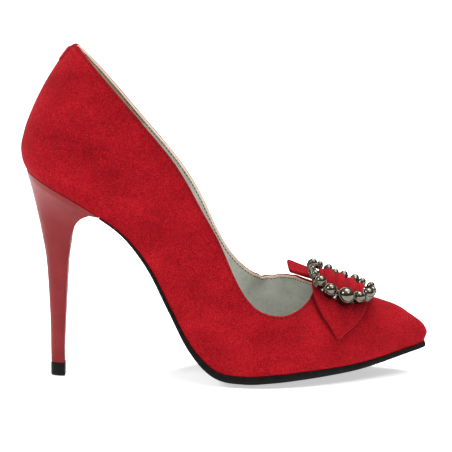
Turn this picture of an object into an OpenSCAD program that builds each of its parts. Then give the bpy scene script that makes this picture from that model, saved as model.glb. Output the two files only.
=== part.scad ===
// Pointed court shoe (pump) for the right foot, with a slim high heel and a jewelled bow.
// Working frame: X runs from the back of the heel to the toe, Y to the inner (medial) side,
// Z up from the floor. The finished shoe is moved so that its origin is on the floor under
// the middle of its bounding box.

/* [Shoe] */
// Overall length of the shoe, heel back to toe tip
shoe_length = 207; // [190:1:225]
// Width of the bottom across the ball of the foot
ball_width = 74.5; // [66:0.5:84]
// Height of the heel seat at its back edge above the floor
seat_height = 105.6; // [90:0.2:118]

/* [Upper] */
// Thickness of the outer suede
suede_t = 1.1; // [0.9:0.1:1.4]
// Thickness of the lining leather
lining_t = 0.8; // [0.6:0.1:1]
// Gap for reinforcements between suede and lining
tape_t = 0.3; // [0.3:0.05:0.5]
// Extra thickness of the moulded heel counter
counter_t = 0.6; // [0.4:0.1:0.8]
// Extra thickness of the toe puff
puff_t = 0.4; // [0.3:0.1:0.6]
// Width of the suede turned under the insole board
margin_w = 12; // [9:0.5:14]
// Distance of the topline stitching from the edge
stitch_in = 1.4; // [1.2:0.1:3]
// Number of stitches along each side of the topline
stitch_count = 108; // [60:2:120]

/* [Bottom] */
// Thickness of the insole board
board_t = 2; // [1.6:0.1:2.4]
// Thickness of the foam under the sock lining
foam_t = 1.8; // [1.2:0.1:2.4]
// Thickness of the sock lining
sock_t = 0.8; // [0.6:0.1:1]
// How far the outsole stands out past the upper
welt = 0.6; // [0.2:0.1:1.2]
// Width of the steel shank
shank_w = 10; // [8:0.5:12]
// Thickness of the steel shank
shank_t = 1; // [0.8:0.1:1]

/* [Heel] */
// Height of the top lift
lift_h = 6.6; // [5:0.2:8]
// Outer diameter of the steel tube in the heel
tube_d = 4.6; // [4:0.1:5]
// Wall thickness of the steel tube
tube_wall = 0.7; // [0.5:0.1:0.8]
// Diameter of the heel screw's shank
screw_d = 4; // [3:0.1:4]
// Diameter of each heel nail
nail_d = 1.8; // [1.4:0.1:2]

/* [Bow and ring] */
// Length of the oval ring, measured through the bead centres
ring_l = 33.2; // [33:0.2:36]
// Width of the oval ring, measured through the bead centres
ring_w = 26; // [25:0.2:27]
// Thickness of the ring plate
plate_t = 1; // [0.8:0.1:1.4]
// Thickness of each doubled suede wing of the bow
wing_t = 2; // [1.6:0.1:2.4]
// Wall thickness of the bead cups
cup_wall = 0.35; // [0.3:0.05:0.5]

/* [Hidden] */
$fn = 40;
LATERAL = -1;
MEDIAL = 1;

// Scale from the drawn last to the chosen size
sx = shoe_length/207;
sy = ball_width/74.5;
sz = seat_height/105.6;
// Where the shoe's origin lies in the working frame
origin_x = shoe_length/2 + 0.5;
origin_y = 2.5*sy;

suede_red = [0.70, 0.10, 0.14];
heel_red = [0.52, 0.15, 0.16];
lining_grey = [0.66, 0.67, 0.64];
grip_beige = [0.62, 0.56, 0.45];
sole_black = [0.06, 0.06, 0.06];
board_brown = [0.55, 0.42, 0.30];
steel = [0.55, 0.56, 0.58];
gunmetal = [0.25, 0.24, 0.23];

// ---- smooth interpolation through rows of a table ----
// Each row is [position, value, value, ...]. An end is mirrored (1) or carried straight on (0)
// column by column, as the lists of ends say.

function ghost(near, next, mirror) =
  [for (c = [0:len(near) - 1]) c > 0 && mirror[c] == 1 ? next[c] : 2*near[c] - next[c]];
function with_ghosts(rows, mirror_a, mirror_b) =
  let (n = len(rows))
  concat([ghost(rows[0], rows[1], mirror_a)], rows, [ghost(rows[n - 1], rows[n - 2], mirror_b)]);
function slope(rows, i) =
  let (before = rows[i][0] - rows[i - 1][0], after = rows[i + 1][0] - rows[i][0])
  ((rows[i] - rows[i - 1])/before*after + (rows[i + 1] - rows[i])/after*before)/(before + after);
function row_at(rows, x) =
  let (
    n = len(rows),
    p = min(max(x, rows[1][0]), rows[n - 2][0]),
    i = max([for (k = [1:n - 3]) if (rows[k][0] <= p) k]),
    h = rows[i + 1][0] - rows[i][0],
    u = (p - rows[i][0])/h)
  (2*u*u*u - 3*u*u + 1)*rows[i] + (u*u*u - 2*u*u + u)*h*slope(rows, i)
  + (3*u*u - 2*u*u*u)*rows[i + 1] + (u*u*u - u*u)*h*slope(rows, i + 1);

// ---- the last: the outside of the upper ----
// Stations along the feather edge, from the back of the heel (0) to the toe tip (1):
// position, x and z of the feather edge, height of the section, its lean in degrees,
// half widths to the lateral and medial side, centre line, side bulge, two shape factors.
STATIONS = [
  [0.00, 3.8, 105.6, 100, 69.4, 0, 0, 0, 0, 0.40, 0.60],
  [0.04, 5.5, 104.8, 100, 68.5, 9.4, 9.4, 0, 1.8, 0.40, 0.60],
  [0.08, 10.6, 102.0, 100, 67, 17.2, 17.2, 0, 3.6, 0.40, 0.60],
  [0.12, 18.3, 97.8, 100, 65, 22.2, 22.2, 0, 4.8, 0.40, 0.60],
  [0.16, 27.0, 93.0, 100, 62, 24.2, 24.2, 0, 5.4, 0.40, 0.60],
  [0.22, 39.5, 85.0, 98, 55, 23.2, 23.2, 0, 6.0, 0.40, 0.60],
  [0.29, 53.8, 73.8, 92, 44, 21.0, 19.5, 0.2, 6.5, 0.40, 0.60],
  [0.36, 66.2, 57.8, 86, 36, 20.7, 17.2, 0.6, 7.0, 0.40, 0.60],
  [0.43, 76.7, 37.2, 82, 38, 23.2, 19.2, 1.2, 7.6, 0.40, 0.60],
  [0.49, 86.8, 19.0, 80, 47, 27.5, 25.0, 2.2, 8.6, 0.40, 0.64],
  [0.55, 99.2, 7.6, 80, 62, 34.0, 30.5, 3.6, 7.2, 0.40, 0.60],
  [0.61, 113.0, 5.6, 78, 74, 39.5, 33.0, 5.4, 4.6, 0.40, 0.53],
  [0.67, 127.0, 6.3, 62, 83, 41.5, 33.0, 6.8, 3.6, 0.42, 0.51],
  [0.73, 140.5, 7.3, 44.3, 88, 39.5, 30.8, 7.2, 3.6, 0.45, 0.52],
  [0.80, 155.5, 8.2, 37.0, 91, 33.5, 26.5, 7.0, 3.8, 0.48, 0.57],
  [0.87, 170.8, 9.4, 31.4, 92, 25.5, 20.5, 6.8, 3.7, 0.50, 0.61],
  [0.93, 185.0, 11.8, 25.4, 94, 16.8, 14.0, 6.7, 3.2, 0.50, 0.64],
  [0.965, 194.9, 13.8, 19.6, 95, 10.2, 9.0, 6.7, 2.0, 0.50, 0.68],
  [0.99, 203.0, 15.4, 11.2, 92, 4.6, 4.3, 6.7, 0.9, 0.50, 0.70],
  [1.00, 205.0, 16.0, 5.3, 77, 0, 0, 6.7, 0, 0.50, 0.70]];
LAST = with_ghosts(STATIONS, [0, 1, 1, 1, 1, 0, 0, 1, 0, 1, 1], [0, 1, 1, 0, 1, 0, 0, 1, 0, 1, 1]);
// Fullness of the back curve against height along the section, and how it fades forward
BACK_FULL = with_ghosts([
  [0, 0], [3, 3], [8, 6], [17, 7.8], [30, 7.9], [42, 6.7], [50, 5.3], [58, 3.4], [66, 1],
  [80, -3.5], [100, -8]], [0, 0], [0, 0]);
BACK_FADE = with_ghosts([[0, 1], [0.08, 0.85], [0.16, 0.5], [0.22, 0.25], [0.30, 0], [1, 0]],
  [0, 1], [0, 1]);

// A point of the last at station t, with rise 0 at the feather edge and 1 at the ridge
function last_point(t, rise, side) =
  let (
    s = row_at(LAST, t),
    w = side < 0 ? s[5] : s[6],
    u = 1 - rise,
    out = u*u*u*w + 3*u*u*rise*(w + s[8]) + 3*u*rise*rise*s[10]*w,
    up = (3*u*u*rise*s[9] + 3*u*rise*rise + rise*rise*rise)*s[3],
    full = row_at(BACK_FULL, up)[1]*row_at(BACK_FADE, t)[1])
  [sx*(s[1] + up*cos(s[4]) - full*sin(s[4])), sy*(s[7] + side*out),
   sz*(s[2] + up*sin(s[4]) + full*cos(s[4]))];
// The same, carried over the heel's back, the toe tip and the ridge to the other side
function skin_point(t, rise, side) =
  t < 0 ? skin_point(-t, rise, -side)
  : t > 1 ? skin_point(2 - t, rise, -side)
  : rise > 1 ? last_point(t, 2 - rise, -side)
  : last_point(t, max(rise, 0), side);
function unit(v) = v/norm(v);
// Outward direction; at the very toe tip the ridge has no side, so it is taken a little lower
function skin_normal(t, rise, side) =
  let (e = 0.004, r = t > 0.9999 ? min(rise, 0.97) : rise)
  side*unit(cross(skin_point(t, r + e, side) - skin_point(t, r - e, side),
                  skin_point(t + e, r, side) - skin_point(t - e, r, side)));

// ---- the bottom of the last ----
bottom_steps = 160;
bottom_rows = [for (k = [0:bottom_steps]) row_at(LAST, k/bottom_steps)];
PROFILE = [for (r = bottom_rows) [sx*r[1], sz*r[2]]];
CENTRE = [for (r = bottom_rows) [sx*r[1], sy*r[7]]];
HALF_LATERAL = [for (r = bottom_rows) [sx*r[1], sy*r[5] + 0.01]];
HALF_MEDIAL = [for (r = bottom_rows) [sx*r[1], sy*r[6] + 0.01]];
// How far the middle of the bottom hangs below its edges
CROWN = [for (c = [[0, 0], [62, 0], [95, 1.5], [130, 1.8], [170, 1.3], [200, 0.4], [207, 0]])
  [sx*c[0], c[1]]];
function bottom_slope(x) = atan2(lookup(x + 1, PROFILE) - lookup(x - 1, PROFILE), 2);
// A point h above (or below) the bottom of the last
function bottom_point(x, y, h) =
  let (
    a = bottom_slope(x),
    off = y - lookup(x, CENTRE),
    v = off/lookup(x, off < 0 ? HALF_LATERAL : HALF_MEDIAL),
    z = lookup(x, PROFILE) - lookup(x, CROWN)*max(0, 1 - v*v))
  [x - h*sin(a), y, z + h*cos(a)];
// The feather edge moved in by inset towards the centre line
function edge_in(t, side, inset) =
  let (
    p = last_point(t, 0, side),
    c = row_at(LAST, min(max(t, 0.10), 0.93)),
    way = [sx*c[1] - p[0], sy*c[7] - p[1]])
  [p[0], p[1]] + unit(way)*min(inset, 0.72*norm(way));
function edge_point(t, side, inset, h) =
  let (e = edge_in(t, side, inset)) bottom_point(e[0], e[1], h);

// ---- layout of the shell: columns run up from the feather edge to the topline or ridge ----
throat = 0.78; // column that ends at the middle of the throat
grip_seam = 0.235; // column of the seam between vamp lining and heel grip
counter_end = 0.27; // column where the heel counter ends
puff_start = 0.87; // column where the toe puff starts
// Column, station of its foot, station and rise of its top
TOP_LATERAL = with_ghosts([
  [0, 0, 0, 0.504], [0.02, 0.025, 0.0304, 0.5254], [0.05, 0.054, 0.0678, 0.5125],
  [0.08, 0.085, 0.0986, 0.4891], [0.11, 0.12, 0.1259, 0.4648], [0.145, 0.156, 0.155, 0.4363],
  [0.18, 0.195, 0.1827, 0.4115], [0.22, 0.234, 0.213, 0.388], [0.26, 0.275, 0.242, 0.3711],
  [0.3, 0.314, 0.2702, 0.3569], [0.34, 0.351, 0.299, 0.3417], [0.38, 0.385, 0.328, 0.3309],
  [0.42, 0.417, 0.3591, 0.33], [0.455, 0.446, 0.3893, 0.3347], [0.485, 0.472, 0.4168, 0.3384],
  [0.51, 0.496, 0.4415, 0.3401], [0.53, 0.517, 0.4624, 0.3457], [0.545, 0.536, 0.4806, 0.3517],
  [0.558, 0.553, 0.5009, 0.3553], [0.57, 0.569, 0.5273, 0.3579], [0.582, 0.585, 0.5603, 0.3524],
  [0.594, 0.601, 0.5933, 0.3309], [0.606, 0.617, 0.6228, 0.3259], [0.62, 0.635, 0.6519, 0.3419],
  [0.635, 0.653, 0.6781, 0.3733], [0.655, 0.674, 0.7045, 0.4398], [0.68, 0.695, 0.7285, 0.5409],
  [0.705, 0.717, 0.7464, 0.6476], [0.73, 0.737, 0.7583, 0.7599], [0.755, 0.754, 0.7653, 0.8781],
  [0.78, 0.769, 0.769, 1], [0.84, 0.837, 0.837, 1], [0.9, 0.9, 0.9, 1],
  [0.95, 0.95, 0.95, 1], [1, 1, 1, 1]], [0, 0, 0, 1], [0, 0, 0, 1]);
TOP_MEDIAL = with_ghosts([
  [0, 0, 0, 0.504], [0.02, 0.026, 0.0286, 0.5218], [0.05, 0.055, 0.064, 0.5088],
  [0.08, 0.087, 0.0933, 0.4879], [0.11, 0.121, 0.1192, 0.4649], [0.145, 0.158, 0.1466, 0.436],
  [0.18, 0.197, 0.1727, 0.4097], [0.22, 0.236, 0.2013, 0.3855], [0.26, 0.276, 0.2292, 0.3685],
  [0.3, 0.314, 0.2558, 0.3565], [0.34, 0.351, 0.2826, 0.348], [0.38, 0.384, 0.31, 0.3415],
  [0.42, 0.413, 0.3371, 0.3335], [0.455, 0.44, 0.3628, 0.3269], [0.485, 0.462, 0.3867, 0.3281],
  [0.51, 0.482, 0.408, 0.3364], [0.53, 0.499, 0.4263, 0.3468], [0.545, 0.514, 0.4407, 0.3573],
  [0.558, 0.527, 0.4533, 0.3698], [0.57, 0.54, 0.4658, 0.3837], [0.582, 0.552, 0.4801, 0.399],
  [0.594, 0.567, 0.4984, 0.4134], [0.606, 0.583, 0.5261, 0.4262], [0.62, 0.603, 0.569, 0.4209],
  [0.635, 0.628, 0.6144, 0.4142], [0.655, 0.656, 0.6579, 0.4756], [0.68, 0.687, 0.6942, 0.5751],
  [0.705, 0.716, 0.7189, 0.6904], [0.73, 0.742, 0.7458, 0.7936], [0.755, 0.76, 0.7709, 0.8566],
  [0.78, 0.769, 0.769, 1], [0.84, 0.837, 0.837, 1], [0.9, 0.9, 0.9, 1],
  [0.95, 0.95, 0.95, 1], [1, 1, 1, 1]], [0, 0, 0, 1], [0, 0, 0, 1]);
function steps(a, b, n) = [for (i = [0:n - 1]) a + (b - a)*i/n];
ALL_COLUMNS = concat(
  [for (i = [0:9]) grip_seam*pow(i/10, 1.18)], steps(grip_seam, counter_end, 2),
  steps(counter_end, throat, 25), steps(throat, puff_start, 5), steps(puff_start, 0.97, 5),
  [0.97, 0.98, 0.988, 0.995, 1]);
function columns(a, b) = [for (c = ALL_COLUMNS) if (c >= a - 0.0001 && c <= b + 0.0001) c];
WALL_ROWS = [0, 0.05, 0.12, 0.21, 0.32, 0.45, 0.58, 0.71, 0.83, 0.92, 1];

// Station and rise at a place on the shell; up runs from 0 at the foot to 1 at the top
function cell(column, up, side) =
  let (r = row_at(side < 0 ? TOP_LATERAL : TOP_MEDIAL, column))
  [min(1, r[1] + (r[2] - r[1])*up), (column >= throat - 0.0001 ? 1 : min(r[3], 0.995))*up];
// A point of the shell, depth below the outer skin. Rows below 0 lie under the insole board.
function shell_point(column, up, side, depth, foot_h) =
  let (c = cell(column, max(up, 0), side))
  up <= 0 ? edge_point(c[0], side, depth - up*(margin_w - depth), foot_h)
  : skin_point(c[0], c[1], side) - depth*skin_normal(c[0], c[1], side);

// A wall that follows both sides of the shell between two depths, from column first to last
module shell(first, last, rows, outer, inner, outer_h = 0, inner_h = 0) {
  cols = columns(first, last);
  n = len(cols) - 1;
  m = len(rows) - 1;
  points = [for (layer = [0, 1], side = [LATERAL, MEDIAL], c = cols, r = rows)
    let (q = cell(c, max(r, 0), side))
    shell_point(c, r, side, layer == 0 ? outer(q[0], r) : inner(q[0], r),
      layer == 0 ? outer_h : inner_h)];
  // both sides share their points at the heel's back, at the toe tip and along the ridge
  function shared(k, i) =
    cols[k] == 0 || cols[k] == 1 || (i == m && rows[m] == 1 && cols[k] >= throat - 0.0001);
  function id(layer, side, k, i) =
    ((layer*2 + (side == 1 && shared(k, i) ? 0 : side))*(n + 1) + k)*(m + 1) + i;
  function turned(side, f) = side == 0 ? f : [f[0], f[2], f[1]];
  function two(a, b, c, d) = [[a, b, c], [a, c, d]];
  function wall(side, k, i, k2, i2) =
    [for (f = two(id(0, side, k, i), id(0, side, k2, i2), id(1, side, k2, i2), id(1, side, k, i)))
      turned(side, f)];
  skins = [for (side = [0, 1], k = [0:n - 1], i = [0:m - 1], layer = [0, 1])
    for (f = two(id(layer, side, k, i), id(layer, side, k, i + 1),
                 id(layer, side, k + 1, i + 1), id(layer, side, k + 1, i)))
      turned(layer == 0 ? side : 1 - side, f)];
  foot = [for (side = [0, 1], k = [0:n - 1]) for (f = wall(side, k, 0, k + 1, 0)) f];
  top = [for (side = [0, 1], k = [0:n - 1])
    if (!(shared(k, m) && shared(k + 1, m) && rows[m] == 1 && cols[k] >= throat - 0.0001))
      for (f = wall(side, k + 1, m, k, m)) f];
  start = cols[0] == 0 ? [] :
    [for (side = [0, 1], i = [0:m - 1]) for (f = wall(side, 0, i + 1, 0, i)) f];
  end = cols[n] == 1 ? [] :
    [for (side = [0, 1], i = [0:m - 1]) for (f = wall(side, n, i, n, i + 1)) f];
  polyhedron(points, concat(skins, foot, top, start, end), convexity = 10);
}

// A closed solid between two grids of points, under and over, with the same rows
module slab(under, over) {
  n = len(under) - 1;
  m = len(under[0]) - 1;
  count = (n + 1)*(m + 1);
  function id(layer, k, j) = layer*count + k*(m + 1) + j;
  function two(a, b, c, d) = [[a, c, b], [a, d, c]];
  faces = [for (f = concat(
    [for (k = [0:n - 1], j = [0:m - 1])
      [id(0, k, j), id(0, k, j + 1), id(0, k + 1, j + 1), id(0, k + 1, j)]],
    [for (k = [0:n - 1], j = [0:m - 1])
      [id(1, k, j), id(1, k + 1, j), id(1, k + 1, j + 1), id(1, k, j + 1)]],
    [for (k = [0:n - 1]) [id(0, k, 0), id(0, k + 1, 0), id(1, k + 1, 0), id(1, k, 0)]],
    [for (k = [0:n - 1]) [id(0, k, m), id(1, k, m), id(1, k + 1, m), id(0, k + 1, m)]],
    [for (j = [0:m - 1]) [id(0, 0, j), id(1, 0, j), id(1, 0, j + 1), id(0, 0, j + 1)]],
    [for (j = [0:m - 1]) [id(0, n, j), id(0, n, j + 1), id(1, n, j + 1), id(1, n, j)]]))
    for (g = two(f[0], f[1], f[2], f[3])) g];
  points = concat([for (row = under, p = row) p], [for (row = over, p = row) p]);
  polyhedron(points, faces, convexity = 8);
}

module placed() {
  translate([-origin_x, -origin_y, 0]) children();
}

// ---- upper ----
// Fade from 1 to 0 as x passes from a to b
function fade(x, a, b) = min(1, max(0, (b - x)/(b - a)));
function counter_gap(t, up) = counter_t*fade(t, 0.19, 0.27)*fade(up, 0.66, 0.84);
function puff_gap(t) = puff_t*fade(1 - t, 0.08, 0.125);
function gap(t, up) = tape_t + counter_gap(t, up) + puff_gap(t);
function lining_out(t, up) = suede_t + gap(t, up);
function lining_in(t, up) = suede_t + gap(t, up) + lining_t;

module upper() {
  color(suede_red) placed()
    shell(0, 1, concat([-1, -0.5], WALL_ROWS), function (t, up) 0, function (t, up) suede_t, 0, suede_t);
}

tab_t = 0.5; // thickness of the tab over the back seam
tab_end = 0.016; // column where the tab ends on each side
module back_tab() {
  color(suede_red) placed()
    shell(0, tab_end, [0.87, 0.91, 0.955, 1], function (t, up) -tab_t, function (t, up) -0.02);
}

module vamp_lining() {
  color(lining_grey) placed()
    shell(grip_seam, 1, WALL_ROWS, function (t, up) lining_out(t, up),
      function (t, up) lining_in(t, up), suede_t, suede_t);
}

module heel_grip_lining() {
  color(grip_beige) placed()
    shell(0, grip_seam, WALL_ROWS, function (t, up) lining_out(t, up),
      function (t, up) lining_in(t, up), suede_t, suede_t);
}

module topline_tape() {
  color("ivory") placed()
    shell(0, 0.74, [0.86, 0.99], function (t, up) suede_t + 0.02,
      function (t, up) suede_t + tape_t - 0.02);
}

module heel_counter() {
  color("sienna") placed()
    shell(0, counter_end, [0, 0.05, 0.12, 0.21, 0.32, 0.45, 0.58, 0.71, 0.83],
      function (t, up) suede_t + 0.02, function (t, up) lining_out(t, up) - 0.02,
      suede_t, suede_t);
}

module toe_puff() {
  color("wheat") placed()
    shell(puff_start, 1, WALL_ROWS, function (t, up) suede_t + 0.02,
      function (t, up) lining_out(t, up) - 0.02, suede_t, suede_t);
}

// Stitches in a row below the topline, each a short flat bar on the suede
stitch_end = 0.765; // column of the last stitch, under the bow
stitch_w = 0.5;
stitch_h = 0.35;
function stitch_cell(column, side) =
  let (
    c = cell(column, 1, side),
    reach = norm(skin_point(c[0], c[1], side) - skin_point(c[0], c[1] - 0.01, side))/0.01)
  [c[0], c[1] - stitch_in/reach];
function stitch_at(column, side) =
  let (c = stitch_cell(column, side), n = skin_normal(c[0], c[1], side))
  [skin_point(c[0], c[1], side) + 0.02*n, n];
module topline_stitching() {
  ends = [for (side = [LATERAL, MEDIAL], k = [0:stitch_count - 1])
    let (step = stitch_end/stitch_count)
    [stitch_at((k + 0.2)*step, side), stitch_at((k + 0.75)*step, side)]];
  bars = [for (e = ends)
    let (across = unit(cross(e[0][1], e[1][0] - e[0][0]))*stitch_w/2)
    for (q = e, lift = [0, stitch_h], w = [-1, 1]) q[0] + lift*q[1] + w*across];
  sides = [[0, 1, 3, 2], [4, 6, 7, 5], [0, 4, 5, 1], [2, 3, 7, 6], [0, 2, 6, 4], [1, 5, 7, 3]];
  color("darkred") placed()
    polyhedron(bars, [for (k = [0:len(ends) - 1], f = sides) [for (i = f) i + 8*k]]);
}

// ---- bottom ----
// Grid of points h above the bottom, between the edges moved in by inset(t, across)
function layer(stations, across, inset, h) =
  [for (t = stations)
    let (a = edge_in(t, LATERAL, inset(t)), b = edge_in(t, MEDIAL, inset(t)))
    [for (v = across) let (p = a + (b - a)*v) bottom_point(p[0], p[1], h(t, v))]];
BOARD_STATIONS = concat([0.012, 0.03, 0.05, 0.075, 0.1, 0.13, 0.165], steps(0.2, 0.92, 28),
  [0.92, 0.94, 0.955, 0.967, 0.977, 0.985, 0.991]);
ACROSS = [0, 0.08, 0.25, 0.5, 0.75, 0.92, 1];
board_top = suede_t + board_t;
foam_top = board_top + foam_t;
function lining_inset(t) = lining_in(t, 0) + 0.05;

// Turns and moves a child so that its z axis stands on the bottom at x, y
module on_bottom(x, y, h = 0) {
  translate(bottom_point(x, y, h)) rotate([0, -bottom_slope(x), 0]) children();
}

rivet_x = [sx*48, sx*88];
rivet_d = 3;
screw_x = sx*24;
nail_spots = [[19, -6.5], [19, 6.5], [31, -9], [31, 9]];
screw_head_d = 7.5;
screw_head_h = 1.4;
nail_head_d = 3.6;
nail_head_h = 0.7;
screw_length = 21;
nail_length = 11;

module insole_board() {
  color(board_brown) placed() difference() {
    slab(layer(BOARD_STATIONS, ACROSS, function (t) lining_inset(t), function (t, v) suede_t),
         layer(BOARD_STATIONS, ACROSS, function (t) lining_inset(t) - 0.2,
           function (t, v) board_top));
    for (x = rivet_x) on_bottom(x, 0) translate([0, 0, -1]) cylinder(d = rivet_d + 0.1, h = 8);
    on_bottom(screw_x, 0) {
      translate([0, 0, -1]) cylinder(d = screw_d + 0.2, h = 8);
      translate([0, 0, board_top - screw_head_h - 0.1]) cylinder(d = screw_head_d + 0.3, h = 4);
    }
    for (p = nail_spots) on_bottom(sx*p[0], p[1]) {
      translate([0, 0, -1]) cylinder(d = nail_d + 0.1, h = 8);
      translate([0, 0, board_top - nail_head_h - 0.1]) cylinder(d = nail_head_d + 0.2, h = 4);
    }
  }
}

shank_from = 15;
shank_to = 97;
module shank() {
  xs = [for (k = [0:24]) sx*(shank_from + (shank_to - shank_from)*k/24)];
  function end_round(x) =
    shank_w/2*sqrt(max(0.3, 1 - pow(max(0, 1 - min(x - xs[0], xs[24] - x)/(shank_w/2)), 2)));
  function strip(h) =
    [for (x = xs) [for (v = [-1, -0.4, 0.4, 1])
      bottom_point(x, lookup(x, CENTRE) + v*end_round(x), h)]];
  color(steel) placed() difference() {
    slab(strip(0.03), strip(0.03 + shank_t));
    for (x = rivet_x) on_bottom(x, lookup(x, CENTRE)) translate([0, 0, -1])
      cylinder(d = rivet_d + 0.1, h = 4);
    on_bottom(screw_x, 0) translate([0, 0, -1]) cylinder(d = screw_d + 0.2, h = 4);
  }
}

// Two rivets that join the shank to the insole board
module shank_rivets() {
  color(steel) placed()
    for (x = rivet_x) on_bottom(x, 0) {
      translate([0, 0, 0.1]) cylinder(d = rivet_d, h = board_top - 0.1);
    }
}

module bottom_filler() {
  stations = steps(0.52, 0.90, 14);
  color("peru") placed()
    slab(layer(stations, ACROSS, function (t) margin_w + 0.6, function (t, v) 0.05),
         layer(stations, ACROSS, function (t) margin_w + 0.6, function (t, v) suede_t - 0.05));
}

module foam_pad() {
  color("lightyellow") placed()
    slab(layer(BOARD_STATIONS, ACROSS, function (t) lining_inset(t) - 0.1,
           function (t, v) board_top + 0.02),
         layer(BOARD_STATIONS, ACROSS, function (t) lining_inset(t) - 0.4,
           function (t, v) foam_top));
}

module sock_lining() {
  color(lining_grey) placed()
    slab(layer(BOARD_STATIONS, ACROSS, function (t) lining_inset(t) - 0.4,
           function (t, v) foam_top + 0.02),
         layer(BOARD_STATIONS, ACROSS, function (t) lining_inset(t) - 0.5,
           function (t, v) foam_top + sock_t));
}

// Thickness of the outsole along the shoe
SOLE_T = [[0.22, 0.6], [0.27, 0.8], [0.31, 1.2], [0.36, 1.7], [0.44, 1.8], [0.48, 2.2],
  [0.52, 3.1], [0.56, 3.7], [0.61, 3.95], [0.70, 3.9], [0.80, 3.5], [0.88, 3.0], [1, 2.2]];
bevel_h = 1.1; // rise of the rounded lower edge of the outsole
toe_welt = 0.7; // how much further the outsole stands out at the toe tip
function sole_inset(t) = -welt - toe_welt*fade(1 - t, 0, 0.08);
sole_start = 0.228;
module outsole() {
  stations = concat(steps(sole_start, 0.92, 34),
    [0.92, 0.94, 0.955, 0.967, 0.977, 0.985, 0.991, 0.996]);
  across = [0, 0.015, 0.05, 0.25, 0.5, 0.75, 0.95, 0.985, 1];
  rounding = [1, 0.55, 0.15, 0, 0, 0, 0.15, 0.55, 1];
  function low(t, v) =
    let (thick = lookup(t, SOLE_T), edge = lookup(v, [for (i = [0:8]) [across[i], rounding[i]]]))
    edge*min(bevel_h, 0.3*thick) - thick;
  color(sole_black) placed() intersection() {
    slab(layer(stations, across, function (t) sole_inset(t), function (t, v) low(t, v)),
         layer(stations, across, function (t) sole_inset(t), function (t, v) -0.02));
    translate([0, -100, 0]) cube([300, 200, 150]);
  }
}

// ---- heel ----
// Rings down the heel: back x and z, breast x and z, half width, share of the seat's outline,
// hollow of the breast face
HEEL_RINGS = [
  [4.5, 102.2, 36.0, 84.6, 21.8, 0.75, 0.3], [5.6, 98.2, 31.9, 82.6, 18.8, 0.45, 0.8],
  [6.9, 92.8, 29.3, 79.8, 15.6, 0.2, 1.2], [8.4, 86.2, 27.6, 76.2, 12.8, 0, 1.4],
  [10.0, 78.6, 26.3, 71.6, 10.7, 0, 1.3], [11.5, 70.4, 25.6, 66.4, 9.2, 0, 1.1],
  [12.9, 62.0, 24.6, 59.6, 7.9, 0, 0.9], [13.8, 51.6, 24.0, 50.4, 6.8, 0, 0.7],
  [14.4, 40.0, 23.4, 39.5, 5.9, 0, 0.5], [14.9, 27.0, 22.7, 26.8, 5.1, 0, 0.4],
  [15.0, 15.0, 22.2, 15.0, 4.6, 0, 0.3], [15.1, 6.6, 22.2, 6.6, 4.3, 0, 0.3]];
heel_end = 0.226; // station of the heel's breast edge
heel_n = 12; // points on each side of a ring
breast_n = 6; // steps across the breast face
function seat_station(k) = heel_end*pow(k/heel_n, 1.2);
function seat_share(k, side) =
  let (
    p = last_point(seat_station(k), 0, side),
    a = last_point(0, 0, side),
    b = last_point(heel_end, 0, side))
  [(p[0] - a[0])/(b[0] - a[0]), abs(p[1])/abs(b[1])];
function ring_point(r, k, side) =
  let (
    q = 90*k/heel_n,
    seat = seat_share(k, side),
    along = r[5]*seat[0] + (1 - r[5])*(1 - cos(q)),
    out = r[5]*seat[1] + (1 - r[5])*sin(q))
  [sx*(r[0] + (r[2] - r[0])*along), side*sy*r[4]*out, sz*(r[1] + (r[3] - r[1])*along)];
function breast_point(r, j) =
  let (v = 1 - 2*j/breast_n)
  [sx*(r[2] - r[6]*(1 - v*v)), sy*r[4]*v, sz*r[3]];
function heel_ring(r) = concat(
  [for (k = [heel_n:-1:1]) ring_point(r, k, LATERAL)], [for (k = [0:heel_n]) ring_point(r, k, MEDIAL)],
  [for (j = [1:breast_n - 1]) breast_point(r, j)]);
seat_ring = concat(
  [for (k = [heel_n:-1:1]) last_point(seat_station(k), 0, LATERAL) - [0, 0, 0.02]],
  [for (k = [0:heel_n]) last_point(seat_station(k), 0, MEDIAL) - [0, 0, 0.02]],
  let (a = last_point(heel_end, 0, MEDIAL), b = last_point(heel_end, 0, LATERAL))
  [for (j = [1:breast_n - 1]) a + (b - a)*j/breast_n - [0, 0, 0.02]]);

tube_x = 18.7;
tube_top = 74;
tube_bottom = 8.5;
pin_d = tube_d - 2*tube_wall;
module heel_body() {
  rings = concat([seat_ring], [for (r = HEEL_RINGS) heel_ring(r)]);
  count = len(seat_ring);
  levels = len(rings) - 1;
  sides = [for (l = [0:levels - 1], i = [0:count - 1])
    let (a = l*count + i, b = l*count + (i + 1)%count)
    for (f = [[a, b + count, b], [a, a + count, b + count]]) f];
  seat = [for (k = [2:heel_n - 1])
    for (f = [[k, 2*heel_n - k + 1, k - 1], [k, 2*heel_n - k, 2*heel_n - k + 1]]) f];
  back = [[heel_n, heel_n + 1, heel_n - 1]];
  front = concat([[1, count - 1, 0]], [for (j = [2*heel_n - 1:count - 2]) [1, j, j + 1]]);
  foot = [[for (i = [count - 1:-1:0]) levels*count + i]];
  polyhedron([for (ring = rings, p = ring) p], concat(sides, seat, back, front, foot),
    convexity = 6);
}

module heel_block() {
  color(heel_red) placed() difference() {
    heel_body();
    translate([sx*tube_x, 0, -1]) cylinder(d = tube_d, h = sz*tube_top + 1);
    on_bottom(screw_x, 0) translate([0, 0, -screw_length - 1])
      cylinder(d = screw_d, h = screw_length + 3);
    for (p = nail_spots) on_bottom(sx*p[0], p[1]) translate([0, 0, -nail_length])
      cylinder(d = nail_d, h = nail_length + 2);
  }
}

// Steel tube that stiffens the heel's stem
module heel_tube() {
  color(steel) placed() translate([sx*tube_x, 0, tube_bottom]) difference() {
    cylinder(d = tube_d, h = sz*tube_top - tube_bottom);
    translate([0, 0, -1]) cylinder(d = pin_d, h = sz*tube_top);
  }
}

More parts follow.
